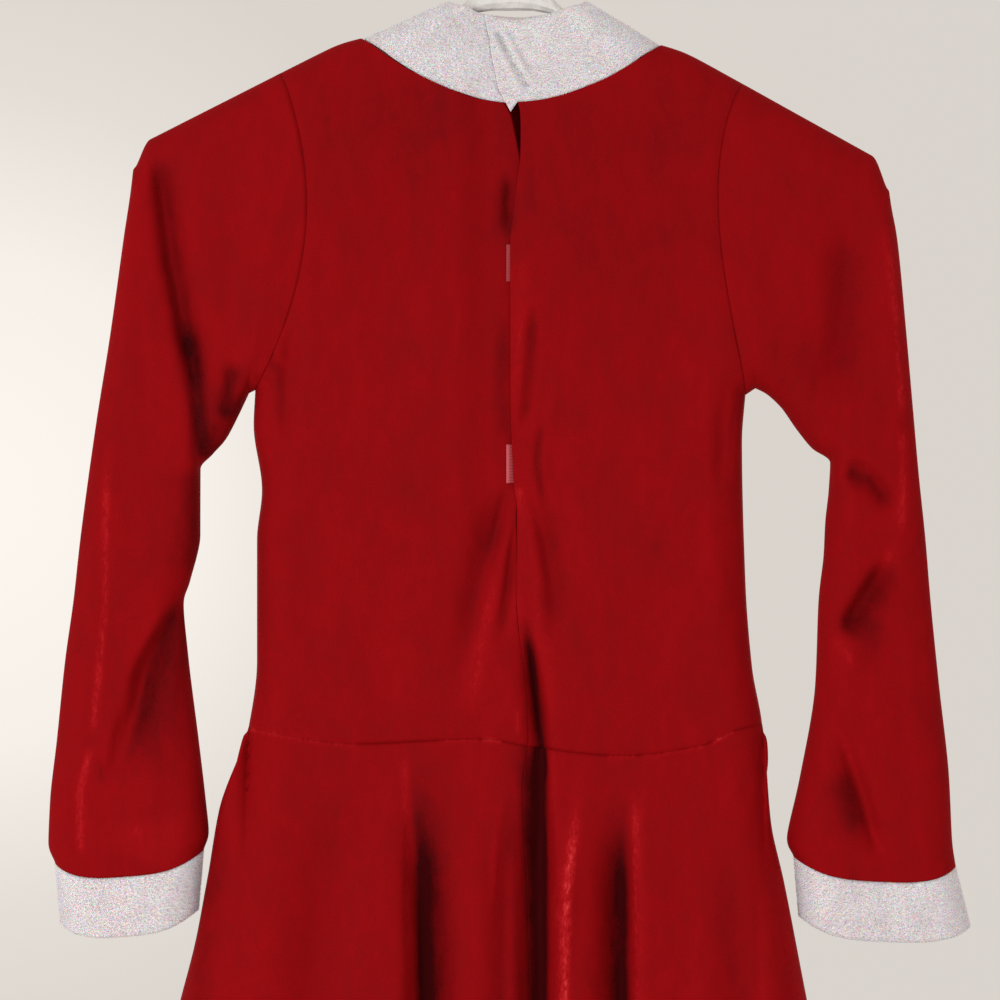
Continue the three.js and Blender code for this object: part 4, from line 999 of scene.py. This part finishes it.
# %% Sleeve sections
SLEEVES = {
    # outer x, outer z (0: on the shoulder line), inner x, inner z, bow, half depth, round
    "left": [
        (-169, 0, -158, -311, 15, 17, 24), (-196, 0, -164, -324, 8, 16, 24),
        (-217, 0, -172, -339, 3, 15, 24), (-227, -176, -180, -348, 0, 14, 22),
        (-233, -219, -187, -357, 0, 14, 22), (-241, -276, -187, -375, 0, 14, 22),
        (-250, -333, -187, -396, 0, 14, 20), (-259, -399, -193, -423, 0, 15, 20),
        (-263, -435, -197, -438, 0, 15, 20), (-268, -471, -194, -471, 0, 15, 20),
        (-273, -519, -188, -519, 0, 16, 22), (-277, -555, -184, -553, 0, 17, 22),
        (-278, -580, -182, -574, 0, 18, 22), (-274, -592, -185, -585, 0, 18, 22),
    ],
    "right": [
        (167, 0, 146, -308, 10, 17, 24), (194, 0, 152, -311, 5, 16, 24),
        (216, 0, 161, -319, 2, 15, 24), (226, -189, 171, -333, 0, 14, 22),
        (231, -219, 180, -344, 0, 14, 22), (236, -270, 191, -353, 0, 14, 20),
        (240, -315, 190, -370, 0, 14, 20), (244, -360, 188, -388, 0, 14, 20),
        (248, -399, 187, -408, 0, 15, 20), (251, -435, 184, -435, 0, 15, 20),
        (256, -485, 182, -485, 0, 16, 22), (262, -540, 173, -540, 0, 17, 22),
        (264, -580, 165, -578, 0, 18, 22), (266, -594, 169, -589, 0, 18, 22),
    ],
}
print("sleeve sections", {hand: len(SLEEVES[hand]) for hand in HANDS})

# %% Folds of the sleeves
SLEEVE_FOLDS = {
    "left": [
        ((-212, -166), (-203, -232), (-187, -318), 6, 8, 7, 0.2, 0.3),
        ((-192, -428), (-220, -478), (-236, -545), 4, 12, 8, 0.3, 0.4),
    ],
    "right": [
        ((198, -205), (199, -262), (189, -318), 9, 9, 5, 0.3, 0.3),
        ((195, -357), (214, -365), (230, -384), 6, 6, 5, 0.3, 0.3),
        ((228, -408), (208, -438), (196, -456), 5, 8, 8, 0.3, 0.3),
        ((190, -500), (210, -555), (221, -592), 9, 5, 6, 0.4, 0.3),
    ],
}
SLEEVE_CREASES = {
    "left": [
        ((-213, -168), (-205, -232), (-188, -314), 2.5, 5, 2.5, 0.2, 0.3),
        ((-189, -352), (-172, -330), (-158, -312), 4, 5, 2.0, 0.4, 0.4),
        ((-198, -262), (-190, -300), (-185, -350), 4, 6, 4.5, 0.3, 0.1),
        ((-165, -292), (-168, -308), (-172, -328), 4, 4, 3.0, 0.3, 0.2),
        ((-197, -431), (-219, -468), (-229, -493), 2.2, 7, 4.0, 0.3, 0.3),
        ((-230, -494), (-236, -520), (-238, -542), 2.2, 6, 3.0, 0.3, 0.4),
        ((-248, -334), (-247, -420), (-252, -500), 7, 6, -1.6, 0.4, 0.4),
        ((-226, -180), (-238, -270), (-243, -330), 8, 8, 1.2, 0.4, 0.4),
        ((-160, -170), (-166, -230), (-168, -290), 9, 9, 1.0, 0.4, 0.4),
        ((-205, -480), (-200, -530), (-203, -580), 10, 10, 1.6, 0.4, 0.2),
        ((-262, -540), (-258, -565), (-256, -590), 6, 6, 1.4, 0.4, 0.2),
    ],
    "right": [
        ((221, -190), (225, -260), (224, -320), 5, 6, -1.4, 0.4, 0.3),
        ((195, -352), (214, -358), (226, -378), 2.5, 3.5, 2.5, 0.3, 0.3),
        ((223, -410), (206, -437), (197, -452), 3, 4, 4.0, 0.3, 0.3),
        ((215, -440), (214, -460), (210, -484), 7, 7, 1.8, 0.4, 0.4),
        ((188, -458), (200, -468), (206, -476), 3, 3, -1.8, 0.3, 0.4),
        ((192, -504), (208, -545), (220, -592), 3.5, 2.0, 3.0, 0.3, 0.2),
        ((152, -190), (156, -240), (160, -290), 9, 9, 1.2, 0.4, 0.4),
        ((240, -460), (238, -520), (244, -580), 9, 9, 1.2, 0.4, 0.2),
    ],
}
print("sleeve creases", {hand: len(SLEEVE_CREASES[hand]) for hand in HANDS})

# %% [markdown]
# A place on the tube is found from its section and from its share of the way across, once
# for the back and once for the front. Before the first section the tube is drawn out from
# the armhole, whose points come from the bodice, so that the two meet all round.

# %% Places on a sleeve
SLEEVE_MIN_DEPTH = 5.0
ON_SHOULDER = 3         # sections whose outer edge lies on the shoulder line
SAG_FROM, SAG_OVER = 12.0, 2.0      # the sleeve's end sags over its last sections
EDGE_SAG = 10.0
FRONT_FOLD_SHARE = 0.6  # folds run on to the hidden front, but shallower


def section_part(hand, part, k):
    """One named part of the sleeve's section k, counted from 1, between rows as well."""
    rows = [(-(i + 1.0), row[part]) for i, row in enumerate(SLEEVES[hand])]
    return from_table(rows, -k)


def armhole_point(s, side, hand):
    tip_z = shoulder_z(SIGN[hand] * SHOULDER_X)
    z = lerp(tip_z, UNDERARM[hand][1], s)
    x = armhole_x(z, hand)
    depth = -back_y(x, z, hand) if side < 0 else front_y(x, z)
    inside = (s > 0.0005) & (s < 0.9995)
    return x + SIGN[hand] * SEAM_CLEAR, side * np.where(inside, depth, 0.0), z


def sleeve_point(s, side, k, hand):
    """Place on section k, s from the outer edge to the inner edge, side -1 for the back."""
    out_x, out_z = section_part(hand, 0, k), section_part(hand, 1, k)
    in_x, in_z = section_part(hand, 2, k), section_part(hand, 3, k)
    edge_z = lerp(shoulder_z(out_x), SLEEVES[hand][ON_SHOULDER][1], ease(k - ON_SHOULDER))
    out_z = np.where(k <= ON_SHOULDER + 1, edge_z, out_z)
    bow, deep = section_part(hand, 4, k), section_part(hand, 5, k)
    length = np.hypot(in_x - out_x, in_z - out_z)
    sag = EDGE_SAG * np.clip((k - SAG_FROM) / SAG_OVER, 0.0, 1.0)
    x = lerp(out_x, in_x, s) - SIGN[hand] * bow * np.sin(math.pi * s)
    z = lerp(out_z, in_z, s) - sag * (1.0 - np.abs(2.0 * s - 1.0) ** 3)
    share = turned(np.minimum(s, 1.0 - s) * length, section_part(hand, 6, k))
    push = fold_depth(SLEEVE_FOLDS[hand] + SLEEVE_CREASES[hand], x, z)
    push = push * (1.0 if side < 0 else FRONT_FOLD_SHARE) + wander(x, z, 0.9 + side, 0.8)
    depth = np.maximum(deep - push, SLEEVE_MIN_DEPTH) * share
    return x, side * depth, z


def sleeve_side(s, side, k, hand):
    x, y, z = sleeve_point(s, side, np.maximum(k, 1.0), hand)
    ax, ay, az = armhole_point(s, side, hand)
    t = np.clip(k, 0.0, 1.0)
    return lerp(ax, x, t), lerp(ay, y, t), lerp(az, z, t)


def sleeve_place(u, v, hand):
    w = np.where(u <= 0.5, 2.0 * u, 2.0 - 2.0 * u)
    s = (1.0 - np.cos(math.pi * w)) / 2.0
    k = v * len(SLEEVES[hand])
    back = sleeve_side(s, -1.0, k, hand)
    front = sleeve_side(s, 1.0, k, hand)
    return tuple(np.where(u <= 0.5, b, f) for b, f in zip(back, front))


print("left sleeve, outer edge of section 7:", round(float(section_part("left", 0, 7.0)), 1))

# %% [markdown]
# The sleeves hang beside the body. In the picture the left one has a long crease from the
# shoulder and a soft valley from the elbow, and the right one is bent back in two short, deep
# creases. Their tube is laid over the sections as one piece, so no crease stops at a joint.

# %% Sleeves
sleeves = {}
for hand in HANDS:
    place = lambda u, v, hand=hand: sleeve_place(u, v, hand)
    painted_light = painted_light_of(SLEEVE_PAINTED_LIGHT[hand])
    piece = cloth("velvet_sleeve_" + hand, 120, 150, place, VELVET, velvet, tube=True, painted_light=painted_light)
    sleeves[hand] = piece
    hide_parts("sleeve_" + hand)

# %% [markdown]
# The cuffs are straight bands of plush, sewn to the sleeve ends with the pile outside.
# Each goes on from the last section of its sleeve, and swells a little between its edges,
# as thick pile does between two lines of stitching.

# %% Cuffs
CUFF_HEIGHT = 36.0
CUFF_SPREAD = {"left": (-3.0, 3.0), "right": (9.0, 3.0)}      # outer edge, inner edge
CUFF_SWELL, SWELL_FADE = 1.2, 8.0
CUFF_WANDER, WANDER_FADE = 0.7, 12.0
PLUSH_SLIDE = 40.0      # the plush wanders in its own way, not on from the velvet


def cuff_place(u, v, hand):
    x, y, z = sleeve_place(u, np.ones(u.shape), hand)
    middle = float(np.mean(x))
    outer = np.abs(x) > abs(middle)
    half = (np.max(x) - np.min(x)) / 2.0
    reach = np.abs(x - middle) / half
    spread = np.where(outer, CUFF_SPREAD[hand][0], CUFF_SPREAD[hand][1]) * reach ** 0.5
    x = x + spread * v * SIGN[hand]
    swell = CUFF_SWELL * np.sin(math.pi * v) ** 0.6 * np.clip(np.abs(y) / SWELL_FADE, 0.0, 1.0)
    loose = np.clip(np.abs(y) / WANDER_FADE, 0.0, 1.0)
    y = y + np.sign(y) * swell + wander(x, z - PLUSH_SLIDE * v, 2.2, CUFF_WANDER) * loose
    return x, y, z - SEAM - CUFF_HEIGHT * v


cuffs = {}
for hand in HANDS:
    place = lambda u, v, hand=hand: cuff_place(u, v, hand)
    piece = cloth("plush_cuff_" + hand, 120, 18, place, PLUSH, plush, tube=True)
    cuffs[hand] = piece
    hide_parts("cuff_" + hand)

# %% [markdown]
# The collar is one band of plush. It starts at the right back edge, goes round the right
# side, the front and the left side, and its left end lies behind the right one at the
# centre back, where the right end hangs down in a small point. Its top edge is folded over,
# which leaves a soft ridge along it. A straight band could be bent by a Curve modifier, but
# its lower edge has to meet the neckline all round, so each point of the band is placed
# between the neckline and a narrower top edge.

# %% Sizes of the collar
COLLAR_CLEAR = 0.2
COLLAR_TOP = {"left": -39.0, "right": 45.0}
COLLAR_PEAK_Z = -76.0
COLLAR_DIP = {"back": 13.0, "front": 7.0}
COLLAR_DEPTH = 13.0
COLLAR_BULGE = 1.6
COLLAR_LAP_STEP = 4.4
COLLAR_SPANS = 42.0
RIGHT_PART = 14.0 / COLLAR_SPANS        # the shares of the band at which each part ends
FRONT_PART = 30.0 / COLLAR_SPANS
LEFT_PART = 41.0 / COLLAR_SPANS
TOP_ROUND = 14.0        # how far in the top edge takes to turn round the neck's sides
LAP_FROM_X, LAP_OVER = -30.0, 11.0      # where the left end steps in behind the right one
SIDE_GAP, SIDE_GAP_X, SIDE_GAP_OVER = 0.7, 70.0, 8.0
RIDGE, RIDGE_WIDTH = 0.8, 0.2
COLLAR_RIGHT_END = [
    # span, how far out past the back's edge, how far down, where on the top edge
    (0.0, 11.6, -8.0, -16.2), (1.0, 8.0, -1.0, -13.6), (2.0, 4.2, 6.0, -10.4),
    (3.0, 0.0, 0.0, -8.0),
]
COLLAR_LEFT_END = [(41.0, 0.0, 0.0, 7.0), (42.0, 3.5, 1.0, 9.0)]
COLLAR_FOLDS = [
    ((-9.6, -95), (0, -114), (10.8, -132), 1.8, 1.8, 2.0, 0.1, 0.1),
    ((-13.5, -95), (-4, -114), (6, -137), 2.6, 2.6, -1.1, 0.1, 0.1),
    ((-4, -92), (5.5, -109), (15, -126), 2.0, 2.4, 1.4, 0.2, 0.3),
    ((9, -91), (11, -106), (10, -124), 4.0, 5.0, 1.2, 0.3, 0.3),
    ((30, -84), (36, -98), (44, -118), 7.0, 8.0, 0.8, 0.3, 0.3),
    ((-28, -84), (-36, -100), (-48, -116), 7.0, 8.0, 0.8, 0.3, 0.3),
]
print("collar creases", len(COLLAR_FOLDS))

# %% [markdown]
# Each point of the collar lies on a line from the neckline to the top edge, which swells
# outward a little. The two ends have rows of their own, for where they show in the picture.

# %% Shape of the collar


def end_of(u, rows):
    spans, out, drop, top = zip(*rows)
    return [np.interp(u * COLLAR_SPANS, spans, values) for values in (out, drop, top)]


def collar_place(u, v):
    start = {hand: centre_x(np.float64(neck_z(0.0, BACK_NECK_DROP)), hand) for hand in HANDS}
    on_right = u < RIGHT_PART
    on_left = u > FRONT_PART
    on_front = ~(on_right | on_left)
    low_x = lerp(NECK_HALF, -NECK_HALF, (u - RIGHT_PART) / (FRONT_PART - RIGHT_PART))
    right_out, right_drop, right_top = end_of(u, COLLAR_RIGHT_END)
    left_out, left_drop, left_top = end_of(u, COLLAR_LEFT_END)
    end_part = COLLAR_RIGHT_END[-1][0] / COLLAR_SPANS
    along_right = np.clip((u - end_part) / (RIGHT_PART - end_part), 0.0, 1.0)
    low_x = np.where(on_right, lerp(start["right"], NECK_HALF, along_right), low_x)
    from_end = np.clip((LEFT_PART - u) / (LEFT_PART - FRONT_PART), 0.0, 1.0)
    low_x = np.where(on_left, lerp(start["left"], -NECK_HALF, from_end), low_x)
    drop = np.where(on_front, FRONT_NECK_DROP, BACK_NECK_DROP)
    low_z = neck_z(low_x, drop)
    back_edge = np.where(on_left, back_y(low_x, low_z, "left"), back_y(low_x, low_z, "right"))
    low_y = np.where(on_front, front_y(low_x, low_z), back_edge)
    low_y = low_y * ease((NECK_HALF - np.abs(low_x)) / 1.5)
    left, right = COLLAR_TOP["left"], COLLAR_TOP["right"]
    top_x = lerp(left, right, (low_x + NECK_HALF) / (2.0 * NECK_HALF))
    part = (low_x - start["right"]) / (NECK_HALF - start["right"])
    top_x = np.where(on_right, lerp(COLLAR_RIGHT_END[-1][3], right, part), top_x)
    top_x = np.where(u < end_part, right_top, top_x)
    part = (low_x + NECK_HALF) / (start["left"] + NECK_HALF)
    top_x = np.where(on_left, lerp(left, COLLAR_LEFT_END[0][3], part), top_x)
    top_x = np.where(u > LEFT_PART, left_top, top_x)
    dip = np.where(on_front, COLLAR_DIP["front"], COLLAR_DIP["back"])
    bow = np.abs((top_x - (left + right) / 2.0) / ((right - left) / 2.0))
    top_z = COLLAR_PEAK_Z - dip * (1.0 - np.minimum(bow, 1.0) ** 1.6)
    share = turned(np.minimum(top_x - left, right - top_x), TOP_ROUND)
    under = COLLAR_LAP_STEP * ease((top_x - LAP_FROM_X) / LAP_OVER)
    under = np.where(on_left, under, 0.0)
    side = np.where(on_front, 1.0, -1.0)
    top_y = side * (COLLAR_DEPTH * share - under)
    low_x = low_x - right_out + left_out
    low_z = low_z - right_drop - left_drop
    gap = COLLAR_CLEAR + SIDE_GAP * ease((np.abs(low_x) - SIDE_GAP_X) / SIDE_GAP_OVER)
    long = np.sqrt((top_x - low_x) ** 2 + (top_y - low_y) ** 2 + (top_z - low_z) ** 2)
    t = lerp(1.0, gap / long, v)
    x, y, z = lerp(low_x, top_x, t), lerp(low_y, top_y, t), lerp(low_z, top_z, t)
    puff = np.clip(np.abs(y) / 6.0, 0.0, 1.0)
    bulge = COLLAR_BULGE * np.sin(math.pi * np.clip(t, 0.0, 1.0)) + wander(x, z, 1.3, 0.8)
    bulge = bulge - np.where(on_right, fold_depth(COLLAR_FOLDS, x, z), 0.0)
    bulge = bulge + groove(v, RIDGE_WIDTH, RIDGE)
    return x, y + side * bulge * puff, z


collar = cloth("plush_collar", 230, 26, collar_place, PLUSH, plush)
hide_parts("collar")

# %% [markdown]
# The pile stands off the knitted back of the plush. Points are scattered over the outer
# face, and a slim three-sided tuft grows from each one, leaning a little its own way. Hair
# curves would be finer, but they don't leave Blender as a mesh, and cones do. The knitted
# back sinks by most of the pile's length, so that the tips end just past the plain wall.

# %% Pile of the plush
PILE_LONG = 1.3
PILE_ROOT = 0.26
PILE_SPACING = 0.62
PILE_SINK = 0.9
PILE_LEAN = 0.2         # radians, at most
PILE_SIZES = (0.65, 1.2)
HALF_TURN = 3.14


def sink(piece, depth):
    back = piece.modifiers.new("sunk_back", "DISPLACE")
    back.strength = -depth * MM
    back.mid_level = 0.0


def set_inputs(made, values):
    for key, value in values.items():
        made.inputs[key].default_value = value


def pile_nodes():
    tree = bpy.data.node_groups.new("plush_pile", "GeometryNodeTree")
    tree.interface.new_socket("Geometry", in_out="INPUT", socket_type="NodeSocketGeometry")
    tree.interface.new_socket("Geometry", in_out="OUTPUT", socket_type="NodeSocketGeometry")
    start = tree.nodes.new("NodeGroupInput")
    scatter = tree.nodes.new("GeometryNodeDistributePointsOnFaces")
    set_inputs(scatter, {"Density": 1.0 / (PILE_SPACING * MM) ** 2})
    tuft = tree.nodes.new("GeometryNodeMeshCone")
    tuft.fill_type = "NONE"
    set_inputs(tuft, {"Vertices": 3, "Radius Top": 0.0, "Radius Bottom": PILE_ROOT * MM,
                      "Depth": PILE_LONG * MM})
    plant = tree.nodes.new("GeometryNodeInstanceOnPoints")
    per_point_value = tree.nodes.new("FunctionNodeRandomValue")
    per_point_value.data_type = "FLOAT_VECTOR"
    set_inputs(per_point_value, {0: (-PILE_LEAN, -PILE_LEAN, -HALF_TURN), 1: (PILE_LEAN, PILE_LEAN, HALF_TURN)})
    turn = tree.nodes.new("GeometryNodeRotateInstances")
    size = tree.nodes.new("FunctionNodeRandomValue")
    size.data_type = "FLOAT"
    set_inputs(size, {2: PILE_SIZES[0], 3: PILE_SIZES[1]})
    real = tree.nodes.new("GeometryNodeRealizeInstances")
    paint = tree.nodes.new("GeometryNodeSetMaterial")
    set_inputs(paint, {"Material": plush})
    end = tree.nodes.new("NodeGroupOutput")
    for a, b in (
            (start.outputs[0], scatter.inputs["Mesh"]),
            (scatter.outputs["Points"], plant.inputs["Points"]),
            (scatter.outputs["Rotation"], plant.inputs["Rotation"]),
            (tuft.outputs["Mesh"], plant.inputs["Instance"]),
            (size.outputs[1], plant.inputs["Scale"]),
            (plant.outputs[0], turn.inputs["Instances"]),
            (per_point_value.outputs[0], turn.inputs["Rotation"]),
            (turn.outputs[0], real.inputs[0]),
            (real.outputs[0], paint.inputs[0]),
            (paint.outputs[0], end.inputs[0])):
        tree.links.new(a, b)
    return tree


pile_tree = pile_nodes()
piles = {}
for piece in (collar, cuffs["left"], cuffs["right"]):
    pile = new_object(piece.name + "_pile", piece.data.copy(), plush)
    sink(pile, PILE_SINK)
    pile.modifiers.new("tufts", "NODES").node_group = pile_tree
    piles[piece.name] = pile
    sink(piece, PILE_SINK)
    piece.modifiers.move(len(piece.modifiers) - 1, 0)
    piece.modifiers["wall"].thickness = (PLUSH - PILE_SINK) * MM
print("piles", [pile.name for pile in piles.values()])

# %% [markdown]
# Two squares of hook-and-loop tape close the back. Only a narrow strip of each shows past
# the edge of the overlap. The tape is stiff, but it follows the cloth that it is sewn to, so
# it is a small sheet of even thickness laid on the left back.

# %% Closing tapes
TAPE = 1.5
TAPE_CLEAR = 0.3
TAPE_LEFT, TAPE_RIGHT = -3.4, 8.6
TAPE_PLACES = {"upper": (-223.0, -245.0), "lower": (-342.0, -365.0)}


def tape_place(u, v, top_z, low_z):
    x, z = lerp(TAPE_LEFT, TAPE_RIGHT, u), lerp(top_z, low_z, v)
    return x, back_y(x, z, "left") - TAPE_CLEAR - TAPE, z


tapes = {}
for name, (top_z, low_z) in TAPE_PLACES.items():
    place = lambda u, v, top_z=top_z, low_z=low_z: tape_place(u, v, top_z, low_z)
    piece = cloth("closing_tape_" + name, 16, 30, place, TAPE, tape_cloth, -1)
    tapes[name] = piece
    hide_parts("tape_" + name)

# %% [markdown]
# The tapes are sewn on with a small rectangle of stitches that shows through on the
# velvet of the overlap. A texture would blur at this size, so each stitch is a short grain
# of thread, a stretched sphere with few faces, sunk by half into the velvet.

# %% Stitches round the tapes
STITCH_LONG, STITCH_STEP, THREAD = 2.0, 2.9, 0.34      # the thread's thickness last
STITCH_BOXES = {"upper": (3.0, 13.0, -224.0, -244.0), "lower": (4.4, 15.6, -343.0, -363.0)}


def sewing_thread_material():
    material = new_material("red_sewing_thread")
    skin = node(material, "ShaderNodeBsdfPrincipled", {
        "Base Color": colour("#8d1519"), "Roughness": 0.9, "Specular IOR Level": 0.05})
    node(material, "ShaderNodeOutputMaterial", {0: skin.outputs[0]})
    return material


def box_route(left, right, top, low):
    """Stitch places round a box: x, z and whether the stitch runs across."""
    across = int((right - left) / STITCH_STEP)
    down = int((top - low) / STITCH_STEP)
    for i in range(across):
        x = left + (i + 0.5) * (right - left) / across
        yield from ((x, top, True), (x, low, True))
    for i in range(down):
        z = low + (i + 0.5) * (top - low) / down
        yield from ((left, z, False), (right, z, False))


thread = sewing_thread_material()
bm = bmesh.new()
for sizes in STITCH_BOXES.values():
    for x, z, runs_across in box_route(*sizes):
        made = bmesh.ops.create_uvsphere(bm, u_segments=8, v_segments=6, radius=0.5)["verts"]
        long = (STITCH_LONG, THREAD) if runs_across else (THREAD, STITCH_LONG)
        bmesh.ops.scale(bm, verts=made, vec=(long[0] * MM, THREAD * MM, long[1] * MM))
        y = float(back_y(np.float64(x), np.float64(z), "right"))
        bmesh.ops.translate(bm, verts=made, vec=(x * MM, y * MM, z * MM))
for face in bm.faces:
    face.smooth = True
mesh = bpy.data.meshes.new("tape_stitches")
bm.to_mesh(mesh)
bm.free()
stitches = new_object("tape_stitches", mesh, thread)
print("stitch faces", len(mesh.polygons))

# %% [markdown]
# The hanger is rigid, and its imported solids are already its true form. It could be modelled
# again with finer edges, but little of it shows, so the solids only take on the plastic.

# %% Hanger
for name in ("hanger_body", "hanger_hook"):
    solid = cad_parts[name]
    for slot in solid.material_slots:
        slot.material = plastic
    print(name, "slots", len(solid.material_slots))

# %% [markdown]
# Each piece rides on the one rigid body. The table also lists the material slot of the record
# that it shows and the flat size it was cut to, which are not used. Widths are all round for
# sleeves and cuffs.

# %% Ties to the frame
SHEETS = [
    # piece, slot, flat width and length in metres, cut area, held, rests on
    (front, "velvet", (0.345, 0.455), 0.112, ["hanger_body"]),
    (backs["left"], "velvet", (0.178, 0.435), 0.0607, ["hanger_body"]),
    (backs["right"], "velvet", (0.166, 0.435), 0.0545, ["hanger_body"]),
    (skirt_front, "velvet", (0.480, 0.280), 0.1065, ["velvet_front"]),
    (skirts["left"], "velvet", (0.265, 0.280), 0.060, ["velvet_back_left"]),
    (skirts["right"], "velvet", (0.225, 0.280), 0.049, ["velvet_back_right"]),
    (sleeves["left"], "velvet", (0.370, 0.520), 0.089, ["hanger_body"]),
    (sleeves["right"], "velvet", (0.370, 0.520), 0.086, ["hanger_body"]),
    (cuffs["left"], "plush", (0.195, 0.036), 0.0070, ["velvet_sleeve_left"]),
    (cuffs["right"], "plush", (0.225, 0.036), 0.0081, ["velvet_sleeve_right"]),
    (collar, "plush", (0.410, 0.055), 0.0152, ["velvet_front"]),
    (tapes["upper"], "tape", (0.012, 0.022), 0.000264, ["velvet_back_left"]),
    (tapes["lower"], "tape", (0.012, 0.023), 0.000276, ["velvet_back_left"]),
]
for piece, slot, flat, area, rests_on in SHEETS:
    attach(piece, "root")
    pile = [piles[piece.name]] if piece.name in piles else []
for pile in piles.values():
    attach(pile, "root")
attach(stitches, "root")
print("sheets", len(SHEETS))

# %% [markdown]
# The dress hangs before nothing but pale, even light, as before a white sheet in a studio. A
# pale floor lies below it, out of the picture, and sends a little light up.

# %% Floor
FLOOR_TONE = "#e8e4df"
FLOOR_Z = -850.0
FLOOR_RADIUS = 850.0

bm = bmesh.new()
bmesh.ops.create_circle(bm, cap_ends=True, segments=96, radius=FLOOR_RADIUS * MM)
mesh = bpy.data.meshes.new("pale_floor")
bm.to_mesh(mesh)
bm.free()
floor_paint = new_material("matt_floor_paint")
skin = node(floor_paint, "ShaderNodeBsdfPrincipled", {
    "Base Color": colour(FLOOR_TONE), "Roughness": 0.9})
node(floor_paint, "ShaderNodeOutputMaterial", {0: skin.outputs[0]})
floor = new_object("pale_floor", mesh, floor_paint)
floor.location = (0.0, 0.0, FLOOR_Z * MM)
floor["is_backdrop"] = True
print("floor at", FLOOR_Z)

# %% [markdown]
# The room is the world's light. Its colour depends on how far a direction lies from the
# brightest part of the sheet, and it is dimmer in front of the dress, where a studio is dark.

# %% Light of the room
WORLD_TONES = [(0.02, "#fcf6ef"), (0.09, "#f6f0e9"), (0.15, "#e4ded7"), (0.21, "#dad4cd"),
               (0.6, "#d9d3cd")]
GLOW = (-0.2, 0.98, 0.0)      # the sheet is lightest toward the left of the picture
ROOM_FRONT = 0.72             # the room in front of the dress against the sheet behind it
FRONT_ENDS, SHEET_STARTS = -0.3, 0.5

world = bpy.data.worlds.new("pale_room")
world.use_nodes = True
toward = node(world, "ShaderNodeTexCoord", {}).outputs["Generated"]
parts = node(world, "ShaderNodeSeparateXYZ", {0: toward}).outputs
from_glow = node(world, "ShaderNodeVectorMath", {0: toward, 1: GLOW},
                 operation="DISTANCE").outputs["Value"]
sheet_light = node(world, "ShaderNodeValToRGB", {0: from_glow}, WORLD_TONES).outputs["Color"]
behind = node(world, "ShaderNodeMapRange", {
    0: parts["Y"], 1: FRONT_ENDS, 2: SHEET_STARTS, 3: ROOM_FRONT, 4: 1.0}).outputs[0]
background = world.node_tree.nodes["Background"]
world.node_tree.links.new(sheet_light, background.inputs["Color"])
world.node_tree.links.new(behind, background.inputs["Strength"])
bpy.context.scene.world = world
print("world", world.name)

# %% [markdown]
# Two large round lamps shape the folds: the stronger one stands far to the left, so that the
# right side of each pipe falls into shade, and a weak one near the camera opens the shadows.

# %% Lamps


def area_light(name, place, aim, size, power):
    data = bpy.data.lights.new(name, "AREA")
    data.shape = "DISK"
    data.size = size
    data.energy = power
    lamp = bpy.data.objects.new(name, data)
    lamp.location = place
    lamp.rotation_euler = (Vector(aim) - Vector(place)).to_track_quat("-Z", "Y").to_euler()
    bpy.context.scene.collection.objects.link(lamp)
    return lamp


CHEST = (0.0, 0.0, -0.42)
LEFT_WATTS, FRONT_WATTS = 20.0, 9.0
area_light("left_soft_light", (-1.5, -1.9, -0.35), CHEST, 1.0, LEFT_WATTS)
area_light("front_soft_light", (0.25, -2.3, -0.2), CHEST, 0.8, FRONT_WATTS)
bpy.context.scene.view_settings.view_transform = "Standard"

# %% [markdown]
# Last, the sizes are written down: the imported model's box and that of the finished scene.

# %% Sizes and finish
low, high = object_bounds()
sizes = {
    "cad_low": [round(v, 5) for v in cad_low], "cad_high": [round(v, 5) for v in cad_high],
    "scene_low": [round(v, 5) for v in low], "scene_high": [round(v, 5) for v in high],
}
print(sizes)
